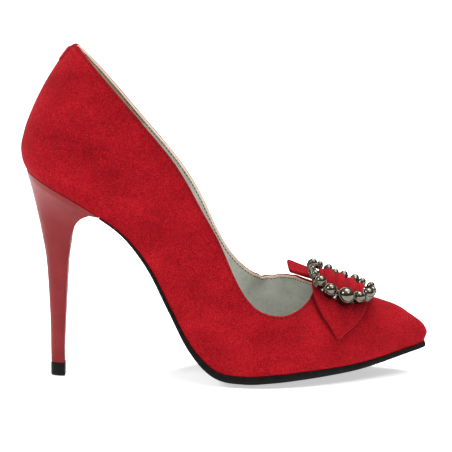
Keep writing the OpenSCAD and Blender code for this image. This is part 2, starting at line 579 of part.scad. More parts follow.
module lift_outline(grow) {
  r = HEEL_RINGS[len(HEEL_RINGS) - 1];
  outer = [for (k = [heel_n:-1:1]) ring_point(r, k, LATERAL)];
  inner = [for (k = [0:heel_n]) ring_point(r, k, MEDIAL)];
  middle = [sx*(r[0] + r[2])/2, 0];
  polygon([for (p = concat(outer, inner))
    let (q = [p[0], p[1]] - middle) middle + q*(norm(q) + grow)/norm(q)]);
}

lift_gap = 0.05; // clearance between heel block and top lift
module top_lift() {
  color(sole_black) placed() difference() {
    linear_extrude(height = lift_h - lift_gap) lift_outline(0.15);
    translate([sx*tube_x, 0, 1.6]) cylinder(d = pin_d, h = lift_h);
  }
}

pin_length = 20;
module top_lift_pin() {
  color(steel) placed() translate([sx*tube_x, 0, 1.6]) cylinder(d = pin_d, h = pin_length);
}

module heel_screw() {
  color(steel) placed() on_bottom(screw_x, 0) difference() {
    union() {
      translate([0, 0, board_top - screw_head_h]) cylinder(d = screw_head_d, h = screw_head_h);
      translate([0, 0, -screw_length]) cylinder(d = screw_d, h = screw_length + board_top - 0.5);
    }
    translate([-screw_head_d, -0.5, board_top - 0.8]) cube([2*screw_head_d, 1, 2]);
  }
}

// Four nails that hold the heel block to the seat
module heel_nails() {
  color(steel) placed()
    for (p = nail_spots) on_bottom(sx*p[0], p[1]) {
      translate([0, 0, board_top - nail_head_h]) cylinder(d = nail_head_d, h = nail_head_h);
      translate([0, 0, 1 - nail_length])
        cylinder(d = nail_d, h = nail_length - 1 + board_top - 0.3);
    }
}

// ---- bow ----
// Frame of the jewelled ring: x towards the toe, y to the medial side, z away from the vamp
ring_centre = [sx*161.9, -4*sy, sz*48.8];
ring_pitch = 22.6;
ring_tilt = 13.4;
ring_bend = 19.8; // radius of the ring's bend across the vamp
module on_ring() {
  translate(ring_centre) rotate([0, ring_pitch, 0]) rotate([ring_tilt, 0, 0]) children();
}
// A point in the ring's frame, across measured along the bend and h above the plate's underside
function bent(x, across, h) =
  let (a = 180/PI*across/ring_bend, r = ring_bend + h) [x, r*sin(a), r*cos(a) - ring_bend];
module on_bend(x, across, h) {
  translate(bent(x, across, h)) rotate([-180/PI*across/ring_bend, 0, 0]) children();
}

// The lateral wing: a leaf that hangs over the outer side of the vamp, tip down
WING_EDGES = [[0.97, 0.819, 0.047], [0.90, 0.817, 0.064], [0.82, 0.817, 0.073],
  [0.73, 0.818, 0.073], [0.64, 0.820, 0.068], [0.56, 0.822, 0.059], [0.48, 0.824, 0.047],
  [0.42, 0.8245, 0.035], [0.355, 0.8225, 0.021], [0.31, 0.8195, 0.010], [0.278, 0.818, 0.003]];
wing_clear = 1; // stand-off of the leaf's tip from the vamp
wing_puff = 3.2; // further stand-off where the leaf leaves the knot
wing_cup = 0.8; // how far the leaf's edges bend down to the vamp
wing_low = WING_EDGES[len(WING_EDGES) - 1][0];
wing_high = WING_EDGES[0][0];
// Places across a wing and how full it is there, so that its edges are rounded
WING_ACROSS = [-1, -0.9, -0.6, -0.2, 0.2, 0.6, 0.9, 1];
WING_FULL = [0.15, 0.5, 0.85, 1, 1, 0.85, 0.5, 0.15];
function wing_point(r, i, level) =
  let (
    v = WING_ACROSS[i],
    t = r[1] + v*r[2],
    share = (r[0] - wing_low)/(wing_high - wing_low),
    lift = wing_clear + wing_puff*pow(share, 0.8) - wing_cup*v*v,
    depth = wing_t*(1 + level*WING_FULL[i])/2)
  skin_point(t, r[0], LATERAL) + skin_normal(t, r[0], LATERAL)*(lift + depth);
module bow_wing_lateral() {
  color(suede_red) placed()
    slab([for (r = WING_EDGES) [for (i = [0:7]) wing_point(r, i, -1)]],
         [for (r = WING_EDGES) [for (i = [0:7]) wing_point(r, i, 1)]]);
}

// The medial wing: a ribbon end that points back and up over the throat
wing_root = [sx*157, 5*sy, sz*48];
wing_tip = [sx*135.5, 10*sy, sz*54.1];
wing_edge = [-0.08, 0.965, 0.248]; // direction of its cut end
wing_root_half = 4.3;
wing_tip_half = 7.25;
wing_corner = 2; // radius of the corners of the cut end
module bow_wing_medial() {
  long = norm(wing_tip - wing_root);
  way = unit(wing_tip - wing_root);
  side = unit(wing_edge);
  face = unit(cross(side, way));
  function corner(s) = max(0, (s - long + wing_corner)/wing_corner);
  function half(s) = wing_root_half + (wing_tip_half - wing_root_half)*s/long
    - wing_corner*(1 - sqrt(max(0, 1 - pow(corner(s), 2))));
  function p(s, i, level) = wing_root + way*s + side*half(s)*WING_ACROSS[i]
    + face*(level*wing_t*WING_FULL[i]/2);
  lengths = concat([long, long - 0.1*wing_corner, long - 0.4*wing_corner],
    [for (k = [7:-1:0]) (long - wing_corner)*k/7]);
  color(suede_red) placed()
    slab([for (s = lengths) [for (i = [0:7]) p(s, i, -1)]],
         [for (s = lengths) [for (i = [0:7]) p(s, i, 1)]]);
}

// The gathered knot of the bow: soft folds that run across, inside the ring
fold_pitch = 6.2;
fold_slant = 0.16; // how far the folds lean towards the toe as they run to the lateral side
fold_depth = 0.45; // share of the knot's height that lies between two folds
knot_half = 10.4; // half the knot's width across the shoe
knot_long = 12.2; // half the knot's length along the middle
knot_round = 12.5; // radius of the knot's rounded plan
knot_h = 5.4; // height of the folds
knot_low = -2.2; // where the folds start
knot_base = -3.4; // underside of the knot
function knot_end(y) = knot_long*sqrt(max(0.1, 1 - pow(y/knot_round, 2)));
function knot_top(x, y) =
  let (
    fold = abs(cos(180*(x + fold_slant*y)/fold_pitch)),
    crown = sqrt(max(0, 1 - pow(y/13, 2))),
    close = sqrt(max(0.05, 1 - pow(x/15.5, 4))))
  knot_low + knot_h*crown*(1 - fold_depth + fold_depth*pow(fold, 0.7))*close;
module bow_pleats() {
  ys = [for (k = [5:-1:-5]) knot_half*k/5];
  us = [for (k = [-12:12]) k/12];
  function p(u, y, h) = bent(u*knot_end(y), y, h);
  color(suede_red) placed() on_ring()
    slab([for (y = ys) [for (u = us) p(u, y, knot_base)]],
         [for (y = ys) [for (u = us) p(u, y, knot_top(u*knot_end(y), y))]]);
}

// Pad between the vamp and the bow, which the bow is fixed to
PAD_SPOTS = [[LATERAL, 0.60], [LATERAL, 0.70], [LATERAL, 0.80], [LATERAL, 0.90], [LATERAL, 1],
  [MEDIAL, 0.9]];
PAD_ENDS = [0.6, 0.9, 1, 1, 0.9, 0.6];
pad_middle = 0.825; // station of the pad's middle
pad_from = 0.79;
pad_to = 0.86;
pad_t = 1.2;
module bow_backing() {
  stations = steps(pad_from, pad_to + 0.005, 7);
  function p(t, i, h) =
    let (q = pad_middle + (t - pad_middle)*PAD_ENDS[i], s = PAD_SPOTS[i])
    skin_point(q, s[1], s[0]) + h*skin_normal(q, s[1], s[0]);
  color(suede_red) placed()
    slab([for (t = stations) [for (i = [0:5]) p(t, i, 0.05)]],
         [for (t = stations) [for (i = [0:5]) p(t, i, pad_t)]]);
}

// ---- jewelled ring ----
// Beads around the ring: angle from the toe end towards the medial side, radius
BEADS = [[20, 1.8], [47, 1.8], [63, 2.2], [84, 2.1], [100, 1.7], [115, 2.0], [137, 1.6], [179, 2.3],
  [196, 1.5], [212, 1.9], [231, 2.7], [255, 3.0], [284, 3.9], [309, 2.7], [331, 2.8], [354, 1.8]];
ACCENTS = [[160, 1.0], [243, 0.8], [269, 0.8], [297, 0.8], [343, 0.9], [33, 0.8]];
plate_half = 1.7; // half the width of the ring plate
accent_in = 3.1; // distance of the accent beads inside the ring's middle line
function ring_place(angle, out) =
  [(ring_l/2 + out)*cos(angle), (ring_w/2 + out)*sin(angle)];
function bead_height(r) = plate_t + 0.25 + 0.9*r;

module ring_plate() {
  n = 48;
  corners = [[-plate_half, 0], [plate_half, 0], [plate_half, plate_t], [-plate_half, plate_t]];
  points = [for (k = [0:n - 1], c = corners)
    let (q = ring_place(360*k/n, c[0])) bent(q[0], q[1], c[1])];
  faces = [for (k = [0:n - 1], i = [0:3])
    let (a = 4*k + i, b = 4*k + (i + 1)%4, c = 4*((k + 1)%n) + (i + 1)%4, d = 4*((k + 1)%n) + i)
    for (f = [[a, b, c], [a, c, d]]) f];
  color(gunmetal) placed() on_ring() polyhedron(points, faces, convexity = 4);
}

cup_clear = 0.03; // clearance of each bead in its cup
module ring_cups() {
  color(gunmetal) placed() on_ring()
    for (b = BEADS) let (q = ring_place(b[0], 0)) on_bend(q[0], q[1], plate_t) difference() {
      cylinder(r = b[1] + cup_wall, h = bead_height(b[1]) - plate_t + 0.15*b[1]);
      translate([0, 0, bead_height(b[1]) - plate_t]) {
        sphere(r = b[1] + cup_clear);
        cylinder(r = b[1] + cup_clear, h = b[1]);
      }
    }
}

module ring_beads() {
  color(gunmetal) placed() on_ring()
    for (b = BEADS) let (q = ring_place(b[0], 0))
      on_bend(q[0], q[1], bead_height(b[1])) sphere(r = b[1]);
}

module ring_accent_beads() {
  color(gunmetal) placed() on_ring()
    for (b = ACCENTS) let (q = ring_place(b[0], b[1] - accent_in))
      on_bend(q[0], q[1], plate_t + 0.8*b[1]) sphere(r = b[1]);
}

upper();
back_tab();
vamp_lining();
heel_grip_lining();
topline_tape();
topline_stitching();
heel_counter();
toe_puff();
insole_board();
shank();
shank_rivets();
bottom_filler();
foam_pad();
sock_lining();
outsole();
heel_block();
heel_tube();
top_lift();
top_lift_pin();
heel_screw();
heel_nails();
bow_wing_lateral();
bow_wing_medial();
bow_pleats();
bow_backing();
ring_plate();
ring_cups();
ring_beads();
ring_accent_beads();
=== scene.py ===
"""A red suede court shoe with a slim heel and a jewelled bow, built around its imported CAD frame.

Shapes are worked out in millimetres in the last's frame, as in the part's source: X runs from the
back of the heel to the toe, Y to the inner side, Z up from the floor. placed() turns such points
into the row frame in metres. Pieces ride on the one body of the row.
"""
import math

import bmesh
import bpy
import numpy as np
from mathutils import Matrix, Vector


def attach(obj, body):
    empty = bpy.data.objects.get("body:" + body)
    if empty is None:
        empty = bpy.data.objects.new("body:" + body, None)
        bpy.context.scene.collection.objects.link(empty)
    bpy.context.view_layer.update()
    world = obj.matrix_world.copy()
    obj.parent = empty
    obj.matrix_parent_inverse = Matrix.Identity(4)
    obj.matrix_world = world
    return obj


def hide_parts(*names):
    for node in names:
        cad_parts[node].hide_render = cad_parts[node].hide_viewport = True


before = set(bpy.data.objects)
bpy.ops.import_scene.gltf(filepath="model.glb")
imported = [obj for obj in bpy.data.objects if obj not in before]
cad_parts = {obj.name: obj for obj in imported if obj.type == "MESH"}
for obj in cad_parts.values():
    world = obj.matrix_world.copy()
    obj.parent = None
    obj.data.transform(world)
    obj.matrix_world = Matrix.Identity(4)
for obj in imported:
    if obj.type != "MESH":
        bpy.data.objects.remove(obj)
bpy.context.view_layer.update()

BODY = "root"
LATERAL, MEDIAL = -1, 1
ORIGIN = np.array([104.0, 2.5, 0.0])  # the row's origin in the last's frame
MM = 0.001

# ---- thicknesses and layout, as in the part's source ----
SUEDE_T, LINING_T, TAPE_T, COUNTER_T, PUFF_T = 1.1, 0.8, 0.3, 0.6, 0.4
BOARD_TOP, FOAM_T, SOCK_T = 3.1, 1.8, 0.8
WELT = 0.6
MARGIN = (1.2, 4, 8, 12)  # steps of the upper's turned-in margin, from the feather edge
THROAT, GRIP_SEAM, COUNTER_END, PUFF_START = 0.78, 0.235, 0.27, 0.87
THROAT_STATION, BACK_TOP = 0.769, 0.504  # where the topline ends in front, and its rise at the back seam
STITCH_IN, STITCH_END = 1.35, 0.765  # distance under the topline, and the last column
STITCHES, PER_STITCH = 110, 3  # spaces for stitches on a side, and columns of the shell in each


def placed(points):
    """Points of the last's frame, in mm, as points of the row frame, in metres."""
    return (np.asarray(points, float) - ORIGIN)*MM


# ---- smooth interpolation through rows of a table ----
def with_ghosts(rows, mirror_a, mirror_b):
    """Adds a row before and after the table: mirrored (1) or carried straight on (0), by column."""
    rows = [np.array(r, float) for r in rows]

    def ghost(near, following, mirror):
        out = 2*near - following
        for c in range(1, len(near)):
            if mirror[c]:
                out[c] = following[c]
        return out

    return np.array([ghost(rows[0], rows[1], mirror_a)] + rows + [ghost(rows[-1], rows[-2], mirror_b)])


def row_at(rows, x):
    """The table's row at x, by a cubic through the rows; x may be an array."""
    keys, n = rows[:, 0], len(rows)
    p = np.clip(np.asarray(x, float), keys[1], keys[n - 2])
    i = np.clip(np.searchsorted(keys, p, side="right") - 1, 1, n - 3)
    gaps = np.diff(keys)
    rates = np.diff(rows, axis=0)/gaps[:, None]

    def slope(k):
        before, after = gaps[k - 1][..., None], gaps[k][..., None]
        return (rates[k - 1]*after + rates[k]*before)/(before + after)

    h = gaps[i][..., None]
    u = (p - keys[i])[..., None]/h
    return ((2*u**3 - 3*u*u + 1)*rows[i] + (u**3 - 2*u*u + u)*h*slope(i)
            + (3*u*u - 2*u**3)*rows[i + 1] + (u**3 - u*u)*h*slope(i + 1))


# ---- the last: the outside of the upper ----
# Position, x and z of the feather edge, height, lean, half widths, centre, side bulge, two factors
STATIONS = [
    [0.00, 3.8, 105.6, 100, 69.4, 0, 0, 0, 0, 0.40, 0.60],
    [0.04, 5.5, 104.8, 100, 68.5, 9.4, 9.4, 0, 1.8, 0.40, 0.60],
    [0.08, 10.6, 102.0, 100, 67, 17.2, 17.2, 0, 3.6, 0.40, 0.60],
    [0.12, 18.3, 97.8, 100, 65, 22.2, 22.2, 0, 4.8, 0.40, 0.60],
    [0.16, 27.0, 93.0, 100, 62, 24.2, 24.2, 0, 5.4, 0.40, 0.60],
    [0.22, 39.5, 85.0, 98, 55, 23.2, 23.2, 0, 6.0, 0.40, 0.60],
    [0.29, 53.8, 73.8, 92, 44, 21.0, 19.5, 0.2, 6.5, 0.40, 0.60],
    [0.36, 66.2, 57.8, 86, 36, 20.7, 17.2, 0.6, 7.0, 0.40, 0.60],
    [0.43, 76.7, 37.2, 82, 38, 23.2, 19.2, 1.2, 7.6, 0.40, 0.60],
    [0.49, 86.8, 19.0, 80, 47, 27.5, 25.0, 2.2, 8.6, 0.40, 0.64],
    [0.55, 99.2, 7.6, 80, 62, 34.0, 30.5, 3.6, 7.2, 0.40, 0.60],
    [0.61, 113.0, 5.6, 78, 74, 39.5, 33.0, 5.4, 4.6, 0.40, 0.53],
    [0.67, 127.0, 6.3, 62, 83, 41.5, 33.0, 6.8, 3.6, 0.42, 0.51],
    [0.73, 140.5, 7.3, 44.3, 88, 39.5, 30.8, 7.2, 3.6, 0.45, 0.52],
    [0.80, 155.5, 8.2, 37.0, 91, 33.5, 26.5, 7.0, 3.8, 0.48, 0.57],
    [0.87, 170.8, 9.4, 31.4, 92, 25.5, 20.5, 6.8, 3.7, 0.50, 0.61],
    [0.93, 185.0, 11.8, 25.7, 94, 16.8, 14.0, 6.7, 3.2, 0.50, 0.64],
    [0.965, 194.9, 13.8, 19.8, 95, 10.2, 9.0, 6.7, 2.0, 0.50, 0.68],
    [0.99, 203.0, 15.4, 11.5, 92, 4.6, 4.3, 6.7, 0.9, 0.50, 0.70],
    [0.995, 204.2, 15.7, 8.5, 83, 3.5, 3.3, 6.7, 0.6, 0.50, 0.70],
    [1.00, 205.0, 16.0, 3.7, 68, 0, 0, 6.7, 0, 0.50, 0.70]]
LAST = with_ghosts(STATIONS, [0, 1, 1, 1, 1, 0, 0, 1, 0, 1, 1], [0, 1, 1, 0, 1, 0, 0, 1, 0, 1, 1])
BACK_FULL = with_ghosts([
    [0, 0], [3, 3], [8, 6], [17, 7.8], [30, 7.9], [42, 6.7], [50, 5.3], [58, 3.4], [66, 1],
    [80, -3.5], [100, -8]], [0, 0], [0, 0])
BACK_FADE = with_ghosts([[0, 1], [0.08, 0.85], [0.16, 0.5], [0.22, 0.25], [0.30, 0], [1, 0]],
    [0, 1], [0, 1])
# Column, station of its foot, station and rise of its top; RIDGE_ROWS follow the vamp's ridge
RIDGE_ROWS = [[0.84, 0.837, 0.837, 1], [0.9, 0.9, 0.9, 1], [0.95, 0.95, 0.95, 1], [1, 1, 1, 1]]
TOP_LATERAL = with_ghosts([
    [0, 0, 0, 0.504], [0.02, 0.025, 0.0304, 0.5254], [0.05, 0.054, 0.0678, 0.5125],
    [0.08, 0.085, 0.0986, 0.4891], [0.11, 0.12, 0.1259, 0.4648], [0.145, 0.156, 0.155, 0.4363],
    [0.18, 0.195, 0.1827, 0.4115], [0.22, 0.234, 0.213, 0.388], [0.26, 0.275, 0.242, 0.3711],
    [0.3, 0.314, 0.2702, 0.3569], [0.34, 0.351, 0.299, 0.3417], [0.38, 0.385, 0.328, 0.3309],
    [0.42, 0.417, 0.3591, 0.33], [0.455, 0.446, 0.3893, 0.3347], [0.485, 0.472, 0.4168, 0.3384],
    [0.51, 0.496, 0.4415, 0.3401], [0.53, 0.517, 0.4624, 0.3457], [0.545, 0.536, 0.4806, 0.3517],
    [0.558, 0.553, 0.5009, 0.3553], [0.57, 0.569, 0.5273, 0.3579], [0.582, 0.585, 0.5603, 0.3524],
    [0.594, 0.601, 0.5933, 0.3309], [0.606, 0.617, 0.6228, 0.3259], [0.62, 0.635, 0.6519, 0.3419],
    [0.635, 0.653, 0.6781, 0.3733], [0.655, 0.674, 0.7045, 0.4398], [0.68, 0.695, 0.7285, 0.5409],
    [0.705, 0.717, 0.7464, 0.6476], [0.73, 0.737, 0.7583, 0.7599], [0.755, 0.754, 0.7653, 0.8781],
    [0.78, 0.769, 0.769, 1]] + RIDGE_ROWS, [0, 0, 0, 1], [0, 0, 0, 1])
TOP_MEDIAL = with_ghosts([
    [0, 0, 0, 0.504], [0.02, 0.026, 0.0286, 0.5218], [0.05, 0.055, 0.064, 0.5088],
    [0.08, 0.087, 0.0933, 0.4879], [0.11, 0.121, 0.1192, 0.4649], [0.145, 0.158, 0.1466, 0.436],
    [0.18, 0.197, 0.1727, 0.4097], [0.22, 0.236, 0.2013, 0.3855], [0.26, 0.276, 0.2292, 0.3685],
    [0.3, 0.314, 0.2558, 0.3565], [0.34, 0.351, 0.2826, 0.348], [0.38, 0.384, 0.31, 0.3415],
    [0.42, 0.413, 0.3371, 0.3335], [0.455, 0.44, 0.3628, 0.3269], [0.485, 0.462, 0.3867, 0.3281],
    [0.51, 0.482, 0.408, 0.3364], [0.53, 0.499, 0.4263, 0.3468], [0.545, 0.514, 0.4407, 0.3573],
    [0.558, 0.527, 0.4533, 0.3698], [0.57, 0.54, 0.4658, 0.3837], [0.582, 0.552, 0.4801, 0.399],
    [0.594, 0.567, 0.4984, 0.4134], [0.606, 0.583, 0.5261, 0.4262], [0.62, 0.603, 0.569, 0.4209],
    [0.635, 0.628, 0.6144, 0.4142], [0.655, 0.656, 0.6579, 0.4756], [0.68, 0.687, 0.6942, 0.5751],
    [0.705, 0.716, 0.7189, 0.6904], [0.73, 0.742, 0.7458, 0.7936], [0.755, 0.76, 0.7709, 0.8566],
    [0.78, 0.769, 0.769, 1]] + RIDGE_ROWS, [0, 0, 0, 1], [0, 0, 0, 1])


def unit(v):
    return v/np.linalg.norm(v, axis=-1, keepdims=True)


def last_point(t, rise, side):
    """A point of the last at station t, with rise 0 at the feather edge and 1 at the ridge."""
    s = row_at(LAST, t)
    w = np.where(side < 0, s[..., 5], s[..., 6])
    u = 1 - rise
    out = u**3*w + 3*u*u*rise*(w + s[..., 8]) + 3*u*rise*rise*s[..., 10]*w
    up = (3*u*u*rise*s[..., 9] + 3*u*rise*rise + rise**3)*s[..., 3]
    full = row_at(BACK_FULL, up)[..., 1]*row_at(BACK_FADE, t)[..., 1]
    lean = np.radians(s[..., 4])
    return np.stack([s[..., 1] + up*np.cos(lean) - full*np.sin(lean), s[..., 7] + side*out,
                     s[..., 2] + up*np.sin(lean) + full*np.cos(lean)], -1)


def skin_point(t, rise, side):
    """The same, carried over the heel's back, the toe tip and the ridge to the other side."""
    t, rise, side = np.broadcast_arrays(*(np.asarray(a, float) for a in (t, rise, side)))
    flip = np.where(t < 0, -1, 1)*np.where(t > 1, -1, 1)*np.where(rise > 1, -1, 1)
    t = np.where(t < 0, -t, np.where(t > 1, 2 - t, t))
    rise = np.where(rise > 1, 2 - rise, np.maximum(rise, 0))
    return last_point(t, rise, side*flip)


def skin_rates(t, rise, side):
    """How a skin point moves with its station and with its rise."""
    e = 0.004
    rise = np.where(np.asarray(t) > 0.9999, np.minimum(rise, 0.97), rise)
    by_t = (skin_point(t + e, rise, side) - skin_point(t - e, rise, side))/(2*e)
    by_rise = (skin_point(t, rise + e, side) - skin_point(t, rise - e, side))/(2*e)
    return by_t, by_rise


def skin_normal(t, rise, side):
    t, rise, side = np.broadcast_arrays(*(np.asarray(a, float) for a in (t, rise, side)))
    by_t, by_rise = skin_rates(t, rise, side)
    return side[..., None]*unit(np.cross(by_rise, by_t))


# ---- the bottom of the last ----
BOTTOM = row_at(LAST, np.linspace(0, 1, 161))
CROWN = np.array([[0, 0], [62, 0], [95, 1.5], [130, 1.8], [170, 1.3], [200, 0.4], [207, 0]])


def along_bottom(x, column):
    return np.interp(x, BOTTOM[:, 1], BOTTOM[:, column])


def bottom_point(x, y, h):
    """A point h above (or below) the bottom of the last."""
    a = np.arctan2(along_bottom(x + 1, 2) - along_bottom(x - 1, 2), 2)
    off = y - along_bottom(x, 7)
    v = off/(np.where(off < 0, along_bottom(x, 5), along_bottom(x, 6)) + 0.01)
    z = along_bottom(x, 2) - np.interp(x, CROWN[:, 0], CROWN[:, 1])*np.maximum(0, 1 - v*v)
    return np.stack([x - h*np.sin(a), y + 0*x, z + h*np.cos(a)], -1)


def edge_in(t, side, inset):
    """The feather edge, moved in by inset towards the centre line; x and y."""
    p = last_point(t, 0*t, side)[..., :2]
    c = row_at(LAST, np.clip(t, 0.10, 0.93))
    way = np.stack([c[..., 1], c[..., 7]], -1) - p
    reach = np.linalg.norm(way, axis=-1)
    return p + unit(way)*np.minimum(inset, 0.72*reach)[..., None]


# ---- layout of the shell ----
BAND = 3.0  # width of the strip along the topline that is built by its distance from the edge


def topline(column, side):
    """Station and rise of the topline at a column."""
    column, side = np.broadcast_arrays(column, side)
    r = np.where((side < 0)[..., None], row_at(TOP_LATERAL, column), row_at(TOP_MEDIAL, column))
    return r[..., 2], np.where(column >= THROAT - 1e-6, 1, np.minimum(r[..., 3], 1))


def below_topline(column, side, distance, steps=6):
    """Station and rise of a place on the skin that far below the topline, square to its edge."""
    column, side = np.broadcast_arrays(column, side)
    t, rise = topline(column, side)
    e = 1e-3
    inner = np.clip(column, e, THROAT - e)
    ends = [skin_point(*topline(inner + d, side), side) for d in (-e, e)]
    tangent = unit(ends[1] - ends[0])
    tangent = np.where((column < e)[..., None] | (column > THROAT - e)[..., None],
                       np.stack([0*column, -side*np.where(column < e, -1, 1), 0*column], -1), tangent)
    for _ in range(steps):
        by_t, by_rise = skin_rates(t, rise, side)
        n = unit(np.cross(by_rise, by_t))
        down = np.cross(n, tangent)
        down *= np.sign((down*np.array([0.35, 0, -1.0])).sum(-1, keepdims=True))*distance/steps
        tt, tr, rr = ((a*b).sum(-1) for a, b in ((by_t, by_t), (by_t, by_rise), (by_rise, by_rise)))
        dt, dr = (by_t*down).sum(-1), (by_rise*down).sum(-1)
        det = tt*rr - tr*tr
        t = t + (rr*dt - tr*dr)/det
        rise = rise + (tt*dr - tr*dt)/det
    rise = np.where(column > THROAT - 1e-6, 1, rise)
    t = np.where(column < 1e-6, 0, t)
    return t, rise


def edge_point(t, side, inset, h):
    e = edge_in(t, side, inset)
    return bottom_point(e[..., 0], e[..., 1], h)


def depth_point(t, rise, side, depth):
    """A point that deep under the outer skin."""
    return skin_point(t, rise, side) - np.asarray(depth)[..., None]*skin_normal(t, rise, side)


def evenly(side, count):
    """Columns that divide the topline of one side into equal lengths."""
    c = np.linspace(0, THROAT, 1200)
    p = skin_point(*topline(c, side), side)
    length = np.concatenate([[0], np.cumsum(np.linalg.norm(np.diff(p, axis=0), axis=1))])
    return np.interp(np.linspace(0, length[-1], count + 1), length, c)


# ---- meshes ----
class Mesh:
    """Collects grids of points and joins them to one closed mesh where their edges meet."""

    def __init__(self):
        self.points, self.faces, self.marks, self.count = [], [], [], 0

    def grid(self, p, mark=0, closed=False):
        p = np.asarray(p, float)
        n, m = p.shape[:2]
        ids = np.arange(n*m).reshape(n, m) + self.count
        if closed:
            ids = np.concatenate([ids, ids[:, :1]], axis=1)
        quads = np.stack([ids[:-1, :-1], ids[:-1, 1:], ids[1:, 1:], ids[1:, :-1]], -1).reshape(-1, 4)
        rows, columns = ids.shape[0] - 1, ids.shape[1] - 1
        marks = np.broadcast_to(np.asarray(mark), (rows, columns)).reshape(-1)
        self.points.append(p.reshape(-1, 3))
        self.faces.append(quads)
        self.marks.append(marks)
        self.count += n*m
        return self

    def loft(self, rings, mark=0, ends=(True, True)):
        """Closed rings joined one to the next, with both ends drawn in to their centres."""
        rings = np.asarray(rings, float)
        if ends[0]:
            rings = np.concatenate([np.broadcast_to(rings[0].mean(0), rings[:1].shape), rings])
        if ends[1]:
            rings = np.concatenate([rings, np.broadcast_to(rings[-1].mean(0), rings[:1].shape)])
        return self.grid(rings, mark, closed=True)

    def slab(self, under, over, mark=0):
        """A closed solid between two grids."""
        for g in (under, over):
            self.grid(g, mark)
        for a, b in ((under[0], over[0]), (under[-1], over[-1]), (under[:, 0], over[:, 0]),
                     (under[:, -1], over[:, -1])):
            self.grid(np.stack([a, b]), mark)
        return self

    def build(self, name, materials, sharp=38.0, merge=0.008):
        points = placed(np.concatenate(self.points))
        faces, marks = np.concatenate(self.faces), np.concatenate(self.marks)
        mesh = bpy.data.meshes.new(name)
        mesh.from_pydata(points.tolist(), [], faces.tolist())
        for m in materials:
            mesh.materials.append(m)
        mesh.polygons.foreach_set("material_index", marks.astype(int))
        work = bmesh.new()
        work.from_mesh(mesh)
        bmesh.ops.remove_doubles(work, verts=work.verts, dist=merge*MM)
        bmesh.ops.dissolve_degenerate(work, edges=work.edges, dist=0.0005*MM)
        bmesh.ops.recalc_face_normals(work, faces=work.faces)
        work.to_mesh(mesh)
        work.free()
        mesh.shade_smooth()
        mesh.set_sharp_from_angle(angle=math.radians(sharp))
        piece = bpy.data.objects.new(name, mesh)
        bpy.context.scene.collection.objects.link(piece)
        return piece


def place(piece, slot, *nodes):
    """Puts a finished piece on the shoe's body in place of the plain solids of the frame."""
    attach(piece, BODY)
    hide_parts(*nodes)
    return piece


def fillet(centre, radius, start, end, n):
    """Points of an arc, in degrees, both ends included."""
    a = np.radians(np.linspace(start, end, n))
    return np.stack([centre[0] + radius*np.cos(a), centre[1] + radius*np.sin(a)], -1)


def turn_x(p, a):
    y, z = p[..., 1]*math.cos(a) - p[..., 2]*math.sin(a), p[..., 1]*math.sin(a) + p[..., 2]*math.cos(a)
    return np.stack([p[..., 0], y, z], -1)


def turn_y(p, a):
    x, z = p[..., 0]*math.cos(a) + p[..., 2]*math.sin(a), p[..., 2]*math.cos(a) - p[..., 0]*math.sin(a)
    return np.stack([x, p[..., 1], z], -1)


def turned(profile, n=48):
    """A shape turned about the z axis; profile lists radius and height."""
    a = np.radians(np.arange(n)*360/n)
    return [np.stack([r*np.cos(a), r*np.sin(a), z + 0*a], -1) for r, z in profile]


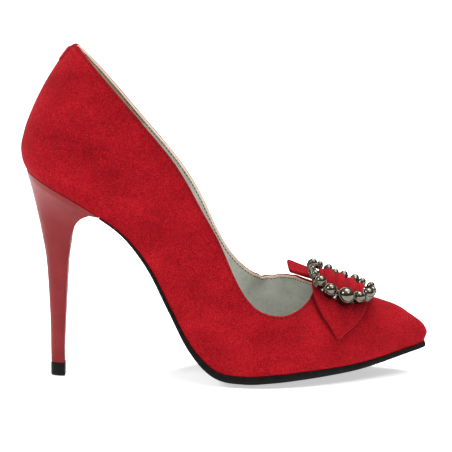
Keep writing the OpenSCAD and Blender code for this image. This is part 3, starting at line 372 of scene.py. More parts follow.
# ---- materials ----
class Look:
    """Node material with object-space noise; colours are linear."""

    def __init__(self, name, roughness, **sockets):
        self.material = bpy.data.materials.new(name)
        self.material.use_nodes = True
        self.tree = self.material.node_tree
        self.shader = self.tree.nodes["Principled BSDF"]
        self.shader.inputs["Roughness"].default_value = roughness
        for socket, value in sockets.items():
            self.shader.inputs[socket.replace("_", " ")].default_value = value
        self.space = self.tree.nodes.new("ShaderNodeTexCoord").outputs["Object"]
        self.bumped = None

    def link(self, a, b):
        self.tree.links.new(a, b)

    def texture(self, kind, scale):
        """A texture node in object space."""
        move = self.tree.nodes.new("ShaderNodeMapping")
        move.inputs["Scale"].default_value = scale
        node = self.tree.nodes.new(kind)
        self.link(self.space, move.inputs["Vector"])
        self.link(move.outputs["Vector"], node.inputs["Vector"])
        return node

    def noise(self, size_mm, detail=3.0, rough=0.55, stretch=(1, 1, 1)):
        """Noise whose blobs are about size_mm across."""
        node = self.texture("ShaderNodeTexNoise", [s/(size_mm*MM) for s in stretch])
        node.inputs["Scale"].default_value = 1.0
        node.inputs["Detail"].default_value = detail
        node.inputs["Roughness"].default_value = rough
        return node.outputs["Fac"]

    def cells(self, size_mm, smooth=0.4):
        node = self.texture("ShaderNodeTexVoronoi", [1/(size_mm*MM)]*3)
        node.feature = "SMOOTH_F1"
        node.inputs["Smoothness"].default_value = smooth
        return node.outputs["Distance"]

    def math(self, kind, a, b):
        node = self.tree.nodes.new("ShaderNodeMath")
        node.operation = kind
        for socket, v in zip(node.inputs, (a, b)):
            if isinstance(v, (int, float)):
                socket.default_value = v
            else:
                self.link(v, socket)
        return node.outputs[0]

    def total(self, *weighted):
        """Weighted sum of noises, centred on 0.5."""
        out = 0.5
        for weight, source in weighted:
            out = self.math("ADD", out, self.math("MULTIPLY", self.math("SUBTRACT", source, 0.5), weight))
        return out

    def ramp(self, source, *stops):
        node = self.tree.nodes.new("ShaderNodeValToRGB")
        band = node.color_ramp
        while len(band.elements) < len(stops):
            band.elements.new(0.5)
        for e, (at, colour) in zip(band.elements, stops):
            e.position = at
            e.color = (*colour, 1)
        self.link(source, node.inputs["Fac"])
        return node.outputs["Color"]

    def colour(self, source, *stops):
        self.link(self.ramp(source, *stops), self.shader.inputs["Base Color"])
        return self

    def rough(self, source, low, high):
        node = self.tree.nodes.new("ShaderNodeMapRange")
        node.inputs["To Min"].default_value = low
        node.inputs["To Max"].default_value = high
        self.link(source, node.inputs["Value"])
        self.link(node.outputs["Result"], self.shader.inputs["Roughness"])
        return self

    def bump(self, source, height_mm, strength=1.0):
        node = self.tree.nodes.new("ShaderNodeBump")
        node.inputs["Strength"].default_value = strength
        node.inputs["Distance"].default_value = height_mm*MM
        self.link(source, node.inputs["Height"])
        if self.bumped is not None:
            self.link(self.bumped, node.inputs["Normal"])
        self.bumped = node.outputs["Normal"]
        self.link(self.bumped, self.shader.inputs["Normal"])
        return self


def suede_look(name, gain=1.0):
    look = Look(name, 0.95, Sheen_Weight=0.10, Sheen_Roughness=0.5, Sheen_Tint=(1.0, 0.25, 0.3, 1),
                Specular_IOR_Level=0.06)
    brushed = look.noise(26, 2, 0.5, (1, 1, 1.6))
    blotch = look.noise(3.2, 4, 0.6)
    nap = look.noise(0.62, 3, 0.7)
    fibre = look.noise(0.3, 2, 0.8)
    tone = look.total((0.5, brushed), (0.2, blotch), (1.3, nap), (1.1, fibre))
    look.colour(tone, (0.10, (0.085*gain, 0.0006, 0.0022)), (0.5, (0.250*gain, 0.0030, 0.0072)),
                (0.90, (0.46*gain, 0.013, 0.019)))
    look.bump(blotch, 0.06, 0.5).bump(nap, 0.12, 0.9).bump(fibre, 0.06, 0.9)
    return look.material


suede = suede_look("suede_nap")
suede_bow = suede_look("suede_bow", 0.97)


def lining_look(name, dark, middle, light, metal):
    look = Look(name, 0.42, Metallic=metal, Specular_IOR_Level=0.35)
    cloud, grain = look.noise(11, 3, 0.6), look.cells(0.7)
    look.colour(look.total((1.0, cloud), (0.5, look.noise(1.4, 3))),
                (0.25, dark), (0.5, middle), (0.75, light))
    look.rough(look.total((1.0, cloud), (0.6, look.noise(0.9))), 0.34, 0.52)
    look.bump(grain, 0.03, 0.5).bump(look.noise(0.25, 2), 0.015, 0.5)
    return look.material


silver_lining = lining_look("silver_lining", (0.46, 0.475, 0.44), (0.58, 0.59, 0.55), (0.70, 0.71, 0.66),
                            0.30)
beige_lining = lining_look("beige_lining", (0.28, 0.24, 0.17), (0.36, 0.32, 0.23), (0.45, 0.40, 0.30), 0.12)

look = Look("cream_edge", 0.8)
look.colour(look.noise(0.35, 4, 0.7), (0.3, (0.50, 0.40, 0.28)), (0.7, (0.80, 0.70, 0.55)))
cream_edge = look.bump(look.noise(0.2, 3), 0.06).material

# Dark red thread, darkened further so that it also carries painted shade: the shade of the needle holes and
# the groove along the stitches.
look = Look("sewing_thread", 0.7, Specular_IOR_Level=0.15)
look.colour(look.noise(0.5, 2), (0.3, (0.040, 0.003, 0.004)), (0.7, (0.085, 0.005, 0.007)))
thread = look.bump(look.noise(0.12, 2), 0.04).material

look = Look("heel_lacquer", 0.42, Coat_Weight=0.02, Coat_Roughness=0.3, Specular_IOR_Level=0.13)
look.colour(look.total((0.8, look.noise(16, 2)), (0.5, look.noise(1.1, 4, 0.65))),
            (0.25, (0.13, 0.008, 0.009)), (0.5, (0.17, 0.011, 0.013)), (0.75, (0.215, 0.017, 0.018)))
look.rough(look.noise(2.2, 3), 0.30, 0.44)
lacquer = look.bump(look.noise(0.7, 2, 0.5), 0.035, 0.6).bump(look.noise(5, 2), 0.08, 0.35).material

look = Look("sole_rubber", 0.55, Specular_IOR_Level=0.1)
look.colour(look.total((1.0, look.noise(3, 3)), (0.6, look.noise(0.4, 3))),
            (0.3, (0.0015, 0.0015, 0.0015)), (0.7, (0.005, 0.005, 0.005)))
look.rough(look.noise(1.5, 3), 0.45, 0.65)
rubber = look.bump(look.noise(0.3, 3, 0.6), 0.04, 0.6).bump(look.noise(4, 2), 0.08, 0.4).material

look = Look("lift_rubber", 0.5, Specular_IOR_Level=0.12)
look.colour(look.noise(0.8, 4, 0.6), (0.3, (0.002, 0.002, 0.002)), (0.7, (0.007, 0.007, 0.007)))
lift_rubber = look.bump(look.noise(0.25, 3), 0.03).bump(look.noise(2.5, 2), 0.05, 0.4).material

look = Look("gunmetal_polish", 0.16, Metallic=1.0)
look.colour(look.total((1.0, look.noise(1.6, 3)), (0.5, look.noise(0.3, 2))),
            (0.25, (0.085, 0.077, 0.060)), (0.75, (0.17, 0.155, 0.125)))
look.rough(look.noise(0.6, 3), 0.03, 0.11)
gunmetal = look.bump(look.noise(0.5, 2), 0.008, 0.5).material

look = Look("gunmetal_cast", 0.32, Metallic=1.0)
look.colour(look.total((1.0, look.noise(1.2, 4)), (0.6, look.noise(0.25, 2))),
            (0.25, (0.07, 0.063, 0.05)), (0.75, (0.19, 0.17, 0.14)))
look.rough(look.noise(0.5, 3), 0.12, 0.26)
gunmetal_cast = look.bump(look.noise(0.35, 3), 0.03, 0.7).material


def plain_look(name, roughness, dark, light, size_mm, **sockets):
    look = Look(name, roughness, **sockets)
    look.colour(look.total((1.0, look.noise(size_mm, 4, 0.65)), (0.6, look.noise(0.3, 2))),
                (0.3, dark), (0.7, light))
    return look.bump(look.noise(0.4, 3), 0.05).material


inner_looks = {
    "insole_board": plain_look("fibre_board", 0.85, (0.17, 0.10, 0.05), (0.30, 0.20, 0.11), 1.5),
    "bottom_filler": plain_look("felt_filler", 0.95, (0.28, 0.17, 0.08), (0.45, 0.30, 0.16), 2),
    "foam_pad": plain_look("latex_foam", 0.9, (0.60, 0.54, 0.36), (0.78, 0.72, 0.52), 1),
    "shank": plain_look("spring_steel", 0.35, (0.22, 0.22, 0.24), (0.42, 0.42, 0.44), 3, Metallic=1.0),
    "bow_backing": suede_bow,
}
steel_look = plain_look("zinc_steel", 0.3, (0.32, 0.33, 0.35), (0.52, 0.53, 0.55), 2, Metallic=1.0)
for hidden in ("shank_rivets", "heel_tube", "top_lift_pin", "heel_screw", "heel_nails"):
    inner_looks[hidden] = steel_look
for node_name, material in inner_looks.items():
    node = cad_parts[node_name]
    node.data.materials.clear()
    node.data.materials.append(material)


# ---- the shell's pieces ----
RIDGE = np.concatenate([np.linspace(THROAT, 0.97, 57)[1:],
                        0.97 + 0.03*(1 - (1 - np.linspace(0, 1, 15)[1:])**1.6)])
RIDGE[-1] = 1


def gap(t, up):
    """Room between suede and lining for the tape, the counter and the puff."""
    def fade(x, a, b):
        return np.clip((b - x)/(b - a), 0, 1)
    return TAPE_T + COUNTER_T*fade(t, 0.19, 0.27)*fade(up, 0.66, 0.84) + PUFF_T*fade(1 - t, 0.08, 0.125)


WALL_UPS = np.concatenate([[0, 0.008, 0.02], np.linspace(0.045, 1, 34)])


class Layer:
    """The two sides of the shell between two columns, at one depth profile."""

    def __init__(self, first, last):
        self.sides = {}
        for side in (LATERAL, MEDIAL):
            columns = np.concatenate([evenly(side, STITCHES*PER_STITCH), RIDGE])
            inner = columns[(columns > first + 2e-4) & (columns < last - 2e-4)]
            self.sides[side] = np.concatenate([[first], inner, [last]])

    def wall(self, side, depth, ups=WALL_UPS, foot_h=None):
        """Grid of the wall from its foot to the band below the topline, one row a column."""
        c = self.sides[side]
        rows = row_at(TOP_LATERAL if side < 0 else TOP_MEDIAL, c)
        t_top, rise_top = below_topline(np.minimum(c, THROAT), side, BAND)
        t_throat = below_topline(np.array([THROAT]), side, BAND)[0][0]
        ridge = c > THROAT
        t_top = np.where(ridge, t_throat + (rows[:, 2] - THROAT_STATION)*(1 - t_throat)
                         /(1 - THROAT_STATION), t_top)
        t_top = np.where(c >= 1, 1, t_top)
        t = rows[:, 1][:, None] + (t_top - rows[:, 1])[:, None]*ups
        t = np.where((c >= 1)[:, None], 1, np.where((c <= 0)[:, None], 0, t))
        rise = rise_top[:, None]*ups
        up = ups + 0*t
        deep = depth(t, up)
        p = depth_point(t, rise, side, deep)
        if foot_h is not None and ups[0] == 0:
            p[:, 0] = edge_point(t[:, 0], side, deep[:, 0], foot_h)
        return p

    def band(self, side, profile):
        """Grid along the topline; profile is a list of distance from it and depth."""
        c = self.sides[side]
        c = c[c <= THROAT + 1e-9]
        out = []
        for distance, depth in profile:
            t, rise = below_topline(c, side, max(distance, 0), max(1, int(distance*2.01)))
            deep = depth(t) if callable(depth) else depth + 0*t
            out.append(depth_point(t, rise, side, deep))
        return np.stack(out, 1)


def shell_mesh(first, last, outer, inner, outer_rim=None, inner_rim=None, foot=None, ups=WALL_UPS):
    """A wall between two depths; rims list distance and depth from the band up to the edge.

    foot lists how far in the steps of a turned-in margin lie.
    """
    mesh, layer = Mesh(), Layer(first, last)
    for side in (LATERAL, MEDIAL):
        out_wall = layer.wall(side, outer, ups)
        in_wall = layer.wall(side, inner, ups, SUEDE_T if foot else None)
        mesh.grid(out_wall).grid(in_wall)
        chain_out, chain_in = [out_wall], [in_wall]
        if outer_rim:
            band = layer.band(side, outer_rim + inner_rim[::-1])
            band[:, 0], band[:, -1] = out_wall[:len(band), -1], in_wall[:len(band), -1]
            mesh.grid(band)
            half = min(len(outer_rim), len(inner_rim))
            chain_out.append(band[:, 1:half])
            chain_in.append(band[:, ::-1][:, 1:half])
        elif last <= THROAT + 1e-9 or ups[-1] < 1:
            mesh.grid(np.stack([out_wall[:, -1], in_wall[:, -1]], 1))
        c = layer.sides[side]
        if foot:
            t = row_at(TOP_LATERAL if side < 0 else TOP_MEDIAL, c)[:, 1]
            t = np.where(c >= 1, 1, t)
            under = [out_wall[:, 0]] + [edge_point(t, side, inset, 0) for inset in foot]
            over = [edge_point(t, side, max(inset, SUEDE_T), SUEDE_T) for inset in foot[::-1]]
            over.append(in_wall[:, 0])
            mesh.grid(np.stack(under + over, 1))
        else:
            mesh.grid(np.stack([out_wall[:, 0], in_wall[:, 0]], 1))
        for at, needed in ((0, first > 0), (-1, last < 1)):
            if needed:
                a = np.concatenate([g[at] for g in chain_out])
                b = np.concatenate([g[at] for g in chain_in])
                mesh.grid(np.stack([a, b]))
    return mesh


def groove(at_stitch, between):
    """Depth of the skin along the stitches: at a stitch's end and between."""
    return lambda t: np.where(np.arange(len(t)) % PER_STITCH == 0, at_stitch, between)


deep_groove, shallow_groove, inner_groove = groove(0.0, 0.17), groove(-0.05, 0.07), groove(2.21, 2.12)
UPPER_RIM_OUT = [(3.0, 0), (2.5, -0.02), (STITCH_IN + 0.55, shallow_groove), (STITCH_IN, deep_groove),
                 (STITCH_IN - 0.55, shallow_groove), (0.7, 0.0), (0.42, 0.07), (0.2, 0.2), (0.05, 0.38)]
UPPER_RIM_IN = [(3.0, 1.1), (2.4, 1.1), (1.8, 1.1), (1.2, 1.1), (0.8, 1.09), (0.5, 1.05), (0.25, 0.93),
                (0.1, 0.8), (0.03, 0.6)]
mesh = shell_mesh(0, 1, lambda t, up: 0*t + 0.28*np.clip(1 - up/0.02, 0, 1)**2,
                  lambda t, up: SUEDE_T + 0*t, UPPER_RIM_OUT, UPPER_RIM_IN, MARGIN)
place(mesh.build("upper_suede", [suede]), "suede", "upper")

LINING_RIM_OUT = [(3.0, 1.4), (1.5, 1.4), (0.8, 1.41), (0.35, 1.43), (0.12, 1.5)]
LINING_RIM_IN = [(3.0, 2.2), (STITCH_IN + 0.4, 2.2), (STITCH_IN, inner_groove), (STITCH_IN - 0.4, 2.2),
                 (1.0, 2.19), (0.7, 2.08), (0.4, 1.85), (0.2, 1.64)]


def lining(first, last, name, material, slot, node):
    mesh = Mesh()
    layer = Layer(first, last)
    for side in (LATERAL, MEDIAL):
        out_wall = layer.wall(side, lambda t, up: SUEDE_T + gap(t, up), foot_h=SUEDE_T)
        in_wall = layer.wall(side, lambda t, up: SUEDE_T + gap(t, up) + LINING_T, foot_h=SUEDE_T)
        band = layer.band(side, LINING_RIM_OUT + LINING_RIM_IN[::-1])
        band[:, 0], band[:, -1] = out_wall[:len(band), -1], in_wall[:len(band), -1]
        marks = [0]*(len(LINING_RIM_OUT) - 1) + [1]*4 + [0]*(len(LINING_RIM_IN) - 4)
        mesh.grid(out_wall).grid(in_wall).grid(band, np.array(marks))
        mesh.grid(np.stack([out_wall[:, 0], in_wall[:, 0]], 1))
        for at, needed in ((0, first > 0), (-1, last < 1)):
            if needed:
                mesh.grid(np.stack([out_wall[at], in_wall[at]]))
                k = len(LINING_RIM_OUT)
                ring = band[at]
                a = np.concatenate([ring[:k], np.repeat(ring[k - 1:k], len(LINING_RIM_IN) - k, 0)])
                mesh.grid(np.stack([a, ring[:k - 1:-1]]))
    return place(mesh.build(name, [material, cream_edge]), slot, node)


lining(GRIP_SEAM, 1, "vamp_lining_leather", silver_lining, "lining_leather", "vamp_lining")
lining(0, GRIP_SEAM, "heel_grip_leather", beige_lining, "grip_leather", "heel_grip_lining")

# ---- reinforcements between suede and lining ----
TAPE_RIM = [3.0, 2.4, 1.8, 1.2, 0.8]
AIR = 0.03  # clearance on each side of a reinforcement
mesh = Mesh()
layer = Layer(0, 0.74)
for side in (LATERAL, MEDIAL):
    wall_ups = np.linspace(0.86, 1, 5)
    out_wall = layer.wall(side, lambda t, up: SUEDE_T + AIR + 0*t, wall_ups)
    in_wall = layer.wall(side, lambda t, up: SUEDE_T + TAPE_T - AIR + 0*t, wall_ups)
    band = layer.band(side, [(d, SUEDE_T + AIR) for d in TAPE_RIM]
                      + [(d, SUEDE_T + TAPE_T - AIR) for d in reversed(TAPE_RIM)])
    out_all = np.concatenate([out_wall, band[:, 1:5]], 1)
    in_all = np.concatenate([in_wall, band[:, ::-1][:, 1:5]], 1)
    mesh.grid(out_all).grid(in_all)
    for a, b in ((out_all[:, 0], in_all[:, 0]), (out_all[:, -1], in_all[:, -1]), (out_all[-1], in_all[-1])):
        mesh.grid(np.stack([a, b]))
tape_look = plain_look("cotton_tape", 0.9, (0.55, 0.50, 0.40), (0.75, 0.70, 0.58), 0.8)
place(mesh.build("edge_tape", [tape_look]), "tape", "topline_tape")


def stiffener_out(t, up):
    return SUEDE_T + AIR + 0*t


def stiffener_in(t, up):
    return SUEDE_T + gap(t, up) - AIR


counter_look = plain_look("counter_board", 0.85, (0.20, 0.11, 0.06), (0.34, 0.20, 0.11), 1.6)
mesh = shell_mesh(0, COUNTER_END, stiffener_out, stiffener_in, ups=np.linspace(0.004, 0.84, 30))
place(mesh.build("counter_moulding", [counter_look]), "counter_board", "heel_counter")

puff_look = plain_look("puff_sheet", 0.9, (0.55, 0.42, 0.26), (0.74, 0.60, 0.42), 1.2)
mesh = shell_mesh(PUFF_START, 1, stiffener_out, stiffener_in, ups=np.linspace(0.01, 1, 30))
place(mesh.build("toe_puff_sheet", [puff_look]), "puff_sheet", "toe_puff")

# ---- tab over the back seam ----
TAB_T, TAB_HALF, TAB_DROP = 0.5, 4.6, 8.4


def tab_point(across, drop, lift):
    """A place on the skin at the heel's back, that far from the seam and below the top."""
    side = np.where(across < 0, LATERAL, MEDIAL)
    down = (skin_point(0, BACK_TOP, 1) - skin_point(0, BACK_TOP - 0.01, 1))/0.01
    rise = BACK_TOP - drop/np.linalg.norm(down)
    t = np.zeros_like(across)
    for _ in range(8):
        y = skin_point(t, rise, side)[..., 1]
        rate = (skin_point(t + 1e-3, rise, side)[..., 1] - y)/1e-3
        t = np.clip(t + (across - y)/rate, 0, 0.05)
    return skin_point(t, rise, side) + np.asarray(lift)[..., None]*skin_normal(t, rise, side)


rounds = []
for k, drop in enumerate(np.concatenate([[0.35], np.linspace(0.8, TAB_DROP - 0.5, 16), [TAB_DROP - 0.15]])):
    end_in = 0.6 if k in (0, 17) else 0
    half = TAB_HALF - 0.35*end_in - 0.10*drop
    flat = np.linspace(-1, 1, 15)*(half - 0.4)
    top = TAB_T - 0.35*end_in
    across = np.concatenate([[-half], flat, [half], [half], flat[::-1], [-half]])
    lift = np.concatenate([[top*0.6], np.full(15, top), [top*0.6], [0.02], np.full(15, 0.02), [0.02]])
    rounds.append(tab_point(across, drop, lift))
tab = Mesh().loft(rounds)
place(tab.build("back_tab_suede", [suede]), "suede", "back_tab")


# ---- stitches ----
def capsule(mesh, start, end, up, radius, thick):
    """A short length of thread with rounded ends, lying along start to end."""
    way = unit(end - start)
    out = unit(np.cross(way, up))
    up = np.cross(out, way)
    long = np.linalg.norm(end - start)
    angles = np.radians(np.arange(8)*45.0)
    rings = []
    for s, r in ((0.0, 0.25), (0.08, 0.72), (0.2, 0.95), (0.5, 1.0), (0.8, 0.95), (0.92, 0.72), (1.0, 0.25)):
        sag = -0.10*(abs(2*s - 1)**3)
        centre = start + way*long*s + up*sag
        rings.append(centre + r*radius*np.cos(angles)[:, None]*out + r*thick*np.sin(angles)[:, None]*up)
    mesh.loft(rings)


STEPS = 6  # columns in a stitch and the space after it
LINING_FACE = 2.22  # depth of the stitches on the lining
mesh = Mesh()
for side in (LATERAL, MEDIAL):
    columns = evenly(side, STITCHES*STEPS)
    t, rise = below_topline(columns, side, STITCH_IN, 4)
    normal = skin_normal(t, rise, side)
    skin = skin_point(t, rise, side)
    for a in range(1, STITCHES*STEPS, STEPS):
        b = a + STEPS - 2
        if columns[b] > STITCH_END:
            break
        capsule(mesh, skin[a] - 0.02*normal[a], skin[b] - 0.02*normal[b], normal[a + 2], 0.30, 0.20)
        capsule(mesh, skin[a] - LINING_FACE*normal[a], skin[b] - LINING_FACE*normal[b], -normal[a + 2],
                0.22, 0.16)
place(mesh.build("topline_thread", [thread]), "thread", "topline_stitching")


# ---- bottom ----
def bottom_layer(stations, across, inset, h):
    t = np.asarray(stations)
    a, b = (edge_in(t, side, inset(t)) for side in (LATERAL, MEDIAL))
    p = a[:, None] + (b - a)[:, None]*across[None, :, None]
    return bottom_point(p[..., 0], p[..., 1], h(t[:, None] + 0*across, across + 0*t[:, None]))


def sock_inset(t):
    return SUEDE_T + gap(t, 0) + LINING_T + 0.05


SOCK_ACROSS = 0.5 - 0.5*np.cos(np.linspace(0, math.pi, 33))
sock_stations = np.concatenate([0.012 + 0.15*np.linspace(0, 1, 30)**1.5, np.linspace(0.17, 0.95, 90),
                                np.linspace(0.953, 0.991, 12)])
SOCK_LOW, SOCK_HIGH = BOARD_TOP + FOAM_T + 0.02, BOARD_TOP + FOAM_T + SOCK_T


def sock_top(t, v):
    edge = np.minimum(v, 1 - v)
    return SOCK_HIGH - 0.35*np.clip(1 - edge/0.02, 0, 1)**2


mesh = Mesh().slab(
    bottom_layer(sock_stations, SOCK_ACROSS, lambda t: sock_inset(t) + 0.4, lambda t, v: SOCK_LOW + 0*t),
    bottom_layer(sock_stations, SOCK_ACROSS, lambda t: sock_inset(t) + 0.5, sock_top))
place(mesh.build("sock_leather", [silver_lining]), "lining_leather", "sock_lining")

SOLE_T = np.array([[0.22, 0.6], [0.27, 0.8], [0.31, 1.2], [0.36, 1.7], [0.44, 1.8], [0.48, 2.2], [0.52, 3.1],
                   [0.56, 3.7], [0.61, 3.95], [0.70, 3.9], [0.80, 3.5], [0.88, 3.0], [1, 2.2]])
BEVEL_H = 1.1
sole_stations = np.concatenate([np.linspace(0.228, 0.92, 150), np.linspace(0.924, 0.99, 30), [0.993, 0.996]])
TOE_WELT = 0.7
thick = np.interp(sole_stations, SOLE_T[:, 0], SOLE_T[:, 1])
thick = np.convolve(np.pad(thick, 6, mode="edge"), np.ones(13)/13, "valid")
bevel = np.minimum(BEVEL_H, 0.34*thick)
SOLE_RIM = [(0.18, 0.0, -0.02), (0.0, 0.0, -0.2), (0.0, 0.5, 0.0), (0.02, 1.0, 0.55), (0.2, 1.0, 0.26),
            (0.62, 1.0, 0.07), (1.3, 1.0, 0.0)]


def sole_edge(side, inset):
    return edge_in(sole_stations, side, inset - WELT - TOE_WELT*np.clip((sole_stations - 0.92)/0.08, 0, 1))


def sole_row(inset, share, lift):
    h = -share*thick + lift*(bevel if share else 1)
    rows = []
    for side in (LATERAL, MEDIAL):
        e = sole_edge(side, inset)
        rows.append(bottom_point(e[:, 0], e[:, 1], h))
    return rows


wall_rows = [sole_row(*r) for r in SOLE_RIM]
across = np.linspace(0, 1, 33)


def sole_face(inset, h):
    a, b = (sole_edge(side, inset) for side in (LATERAL, MEDIAL))
    p = a[:, None] + (b - a)[:, None]*across[None, :, None]
    return bottom_point(p[..., 0], p[..., 1], np.asarray(h)[:, None] + 0*across)


tread = sole_face(SOLE_RIM[-1][0], -thick)
top_face = sole_face(SOLE_RIM[0][0], -0.02 + 0*thick)
mesh = Mesh()
left = np.stack([r[0] for r in wall_rows], 1)
right = np.stack([r[1] for r in wall_rows], 1)
sections = np.concatenate([left[:, :-1], tread, right[:, ::-1][:, 1:], top_face[:, ::-1][:, 1:-1]], 1)
sections[..., 2] = np.maximum(sections[..., 2], 0)
mesh.loft(sections)
place(mesh.build("outsole_rubber", [rubber], sharp=50), "sole_rubber", "outsole")

# ---- heel ----
HEEL_RINGS = np.array([
    [4.5, 102.2, 36.0, 84.6, 21.8, 0.75, 0.3], [5.6, 98.2, 31.9, 82.6, 18.8, 0.45, 0.8],
    [6.9, 92.8, 29.3, 79.8, 15.6, 0.2, 1.2], [8.4, 86.2, 27.6, 76.2, 12.8, 0, 1.4],
    [10.0, 78.6, 26.3, 71.6, 10.7, 0, 1.3], [11.5, 70.4, 25.6, 66.4, 9.2, 0, 1.1],
    [12.9, 62.0, 24.6, 59.6, 7.9, 0, 0.9], [13.8, 51.6, 24.0, 50.4, 6.8, 0, 0.7],
    [14.4, 40.0, 23.4, 39.5, 5.9, 0, 0.5], [14.9, 27.0, 22.7, 26.8, 5.1, 0, 0.4],
    [15.0, 15.0, 22.2, 15.0, 4.6, 0, 0.3], [15.1, 6.6, 22.2, 6.6, 4.3, 0, 0.3]])
HEEL_END = 0.226
SCREW_X, SCREW_D, SCREW_LONG = 24, 4.0, 21
NAIL_SPOTS, NAIL_D, NAIL_LONG = ((19, -6.5), (19, 6.5), (31, -9), (31, 9)), 1.8, 11
TUBE_X, TUBE_D, TUBE_TOP, TUBE_WALL = 18.7, 4.6, 74, 0.7
LIFT_H, LIFT_GAP, LIFT_GROW, LIFT_BORE = 6.6, 0.05, 0.15, 1.6
SIDE_STEPS, BREAST_STEPS = 36, 24


def heel_outline(r, k_share):
    """One side of a ring, from the back (0) to the breast edge (1)."""
    t = HEEL_END*k_share**1.2
    seat, back, breast = (last_point(a, 0*a, np.array(MEDIAL)) for a in (t, 0*t, HEEL_END + 0*t))
    along_seat = (seat[:, 0] - back[:, 0])/(breast[:, 0] - back[:, 0])
    out_seat = seat[:, 1]/breast[:, 1]
    q = k_share*math.pi/2
    along = r[5]*along_seat + (1 - r[5])*(1 - np.cos(q))
    out = r[5]*out_seat + (1 - r[5])*np.sin(q)
    return np.stack([r[0] + (r[2] - r[0])*along, r[4]*out, r[1] + (r[3] - r[1])*along], -1)


MIRROR = np.array([1, -1, 1])


def heel_ring(r):
    half = heel_outline(r, np.linspace(0, 1, SIDE_STEPS + 1))
    v = 1 - 2*np.linspace(0, 1, BREAST_STEPS + 1)[1:-1]
    breast = np.stack([r[2] - r[6]*(1 - v*v), r[4]*v, r[3] + 0*v], -1)
    return np.concatenate([(half*MIRROR)[:0:-1], half, breast])


def seat_ring():
    t = HEEL_END*np.linspace(0, 1, SIDE_STEPS + 1)**1.2
    half = last_point(t, 0*t, np.array(MEDIAL)) - [0, 0, 0.03]
    v = np.linspace(0, 1, BREAST_STEPS + 1)[1:-1, None]
    a, b = half[-1], half[-1]*MIRROR
    return np.concatenate([(half*MIRROR)[:0:-1], half, a + (b - a)*v])


def soften(ring, amount):
    """Draws a ring in towards its middle."""
    middle = np.array([(ring[:, 0].min() + ring[:, 0].max())/2, 0])
    out = ring.copy()
    q = ring[:, :2] - middle
    out[:, :2] = middle + q*(1 - amount/np.linalg.norm(q, axis=1, keepdims=True))
    return out


keys = np.arange(len(HEEL_RINGS), dtype=float)
smooth = with_ghosts(np.column_stack([keys, HEEL_RINGS]), [0]*8, [0]*8)
levels = np.linspace(0, keys[-1], 100)
rings = [soften(seat_ring(), 0.35), seat_ring() - [0, 0, 0.3]]
rings += [heel_ring(row[1:]) for row in row_at(smooth, levels)]
last_ring = rings[-1]
rings[-1] = last_ring + [0, 0, 0.25]
rings.append(soften(last_ring, 0.25))
mesh = Mesh().loft(rings)
heel = mesh.build("heel_lacquered", [lacquer], sharp=48)


def rod(base, z_low, z_high, radius, slope=0.0):
    """A round cutter that stands on base and leans by slope."""
    rings = turn_y(np.array(turned([(radius, z_low), (radius, z_high)])), -slope)
    return Mesh().loft(rings + base).build("cutter", [lacquer], merge=0.001)


cutters = [rod(np.array([TUBE_X, 0, 0]), -1, TUBE_TOP + 0.05, TUBE_D/2 + 0.02)]
spots = [(SCREW_X, 0, SCREW_D/2, SCREW_LONG)] + [(x, y, NAIL_D/2, NAIL_LONG) for x, y in NAIL_SPOTS]
for x, y, radius, long in spots:
    tilt = float(np.arctan2(along_bottom(x + 1, 2) - along_bottom(x - 1, 2), 2))
    stand = bottom_point(np.array(float(x)), np.array(float(y)), 0.0)
    cutters.append(rod(stand, -long - 0.05, 3, radius + 0.02, tilt))
for cutter in cutters:
    cut = heel.modifiers.new("bore", "BOOLEAN")
    cut.operation, cut.solver, cut.object = "DIFFERENCE", "EXACT", cutter
bpy.context.view_layer.update()
carved = bpy.data.meshes.new_from_object(heel.evaluated_get(bpy.context.evaluated_depsgraph_get()))
heel.modifiers.clear()
heel.data = carved
for cutter in cutters:
    bpy.data.objects.remove(cutter, do_unlink=True)
place(heel, "heel_lacquer", "heel_block")

end_row = HEEL_RINGS[-1]
outline = heel_ring(end_row)
outline[SIDE_STEPS*2 + 1:, 0] = np.maximum(outline[SIDE_STEPS*2 + 1:, 0], end_row[2])
top_z = LIFT_H - LIFT_GAP
angles = np.arctan2(outline[:, 1], outline[:, 0] - TUBE_X)
bore_r = TUBE_D/2 - TUBE_WALL + 0.01


def lift_ring(grow, z):
    ring = soften(outline, -grow)
    ring[:, 2] = z
    return ring


def bore_ring(z):
    return np.stack([TUBE_X + bore_r*np.cos(angles), bore_r*np.sin(angles), z + 0*angles], -1)


rings = [lift_ring(LIFT_GROW - inset, z) for inset, z in (
    (LIFT_GROW + 1.2, 0), (0.5, 0), (0.15, 0.10), (0.03, 0.3), (0, 0.55), (0, 3),
    (0, top_z - 0.3), (0.06, top_z - 0.1), (0.25, top_z))]
rings += [bore_ring(z) for z in (top_z, top_z - 2, LIFT_BORE)]
place(Mesh().loft(rings).build("top_lift_rubber", [lift_rubber], sharp=40), "lift_rubber", "top_lift")

# ---- bow ----
RING_CENTRE = np.array([161.9, -4, 48.8])
RING_PITCH, RING_TILT, RING_BEND = math.radians(22.6), math.radians(13.4), 19.8
RING_L, RING_W = 33.2, 26.0
WING_T = 2.0


def on_ring(p):
    """From the ring's own frame to the last's frame."""
    return RING_CENTRE + turn_y(turn_x(np.asarray(p, float), RING_TILT), RING_PITCH)


def bent(x, across, h):
    a = np.asarray(across)/RING_BEND
    x, a, h = np.broadcast_arrays(np.asarray(x, float), a, np.asarray(h, float))
    return np.stack([x, (RING_BEND + h)*np.sin(a), (RING_BEND + h)*np.cos(a) - RING_BEND], -1)


def on_bend(p, x, across, h):
    """A small shape, drawn about its own axis, stood on the bent plate."""
    return on_ring(bent(x, across, h) + turn_x(np.asarray(p, float), -across/RING_BEND))


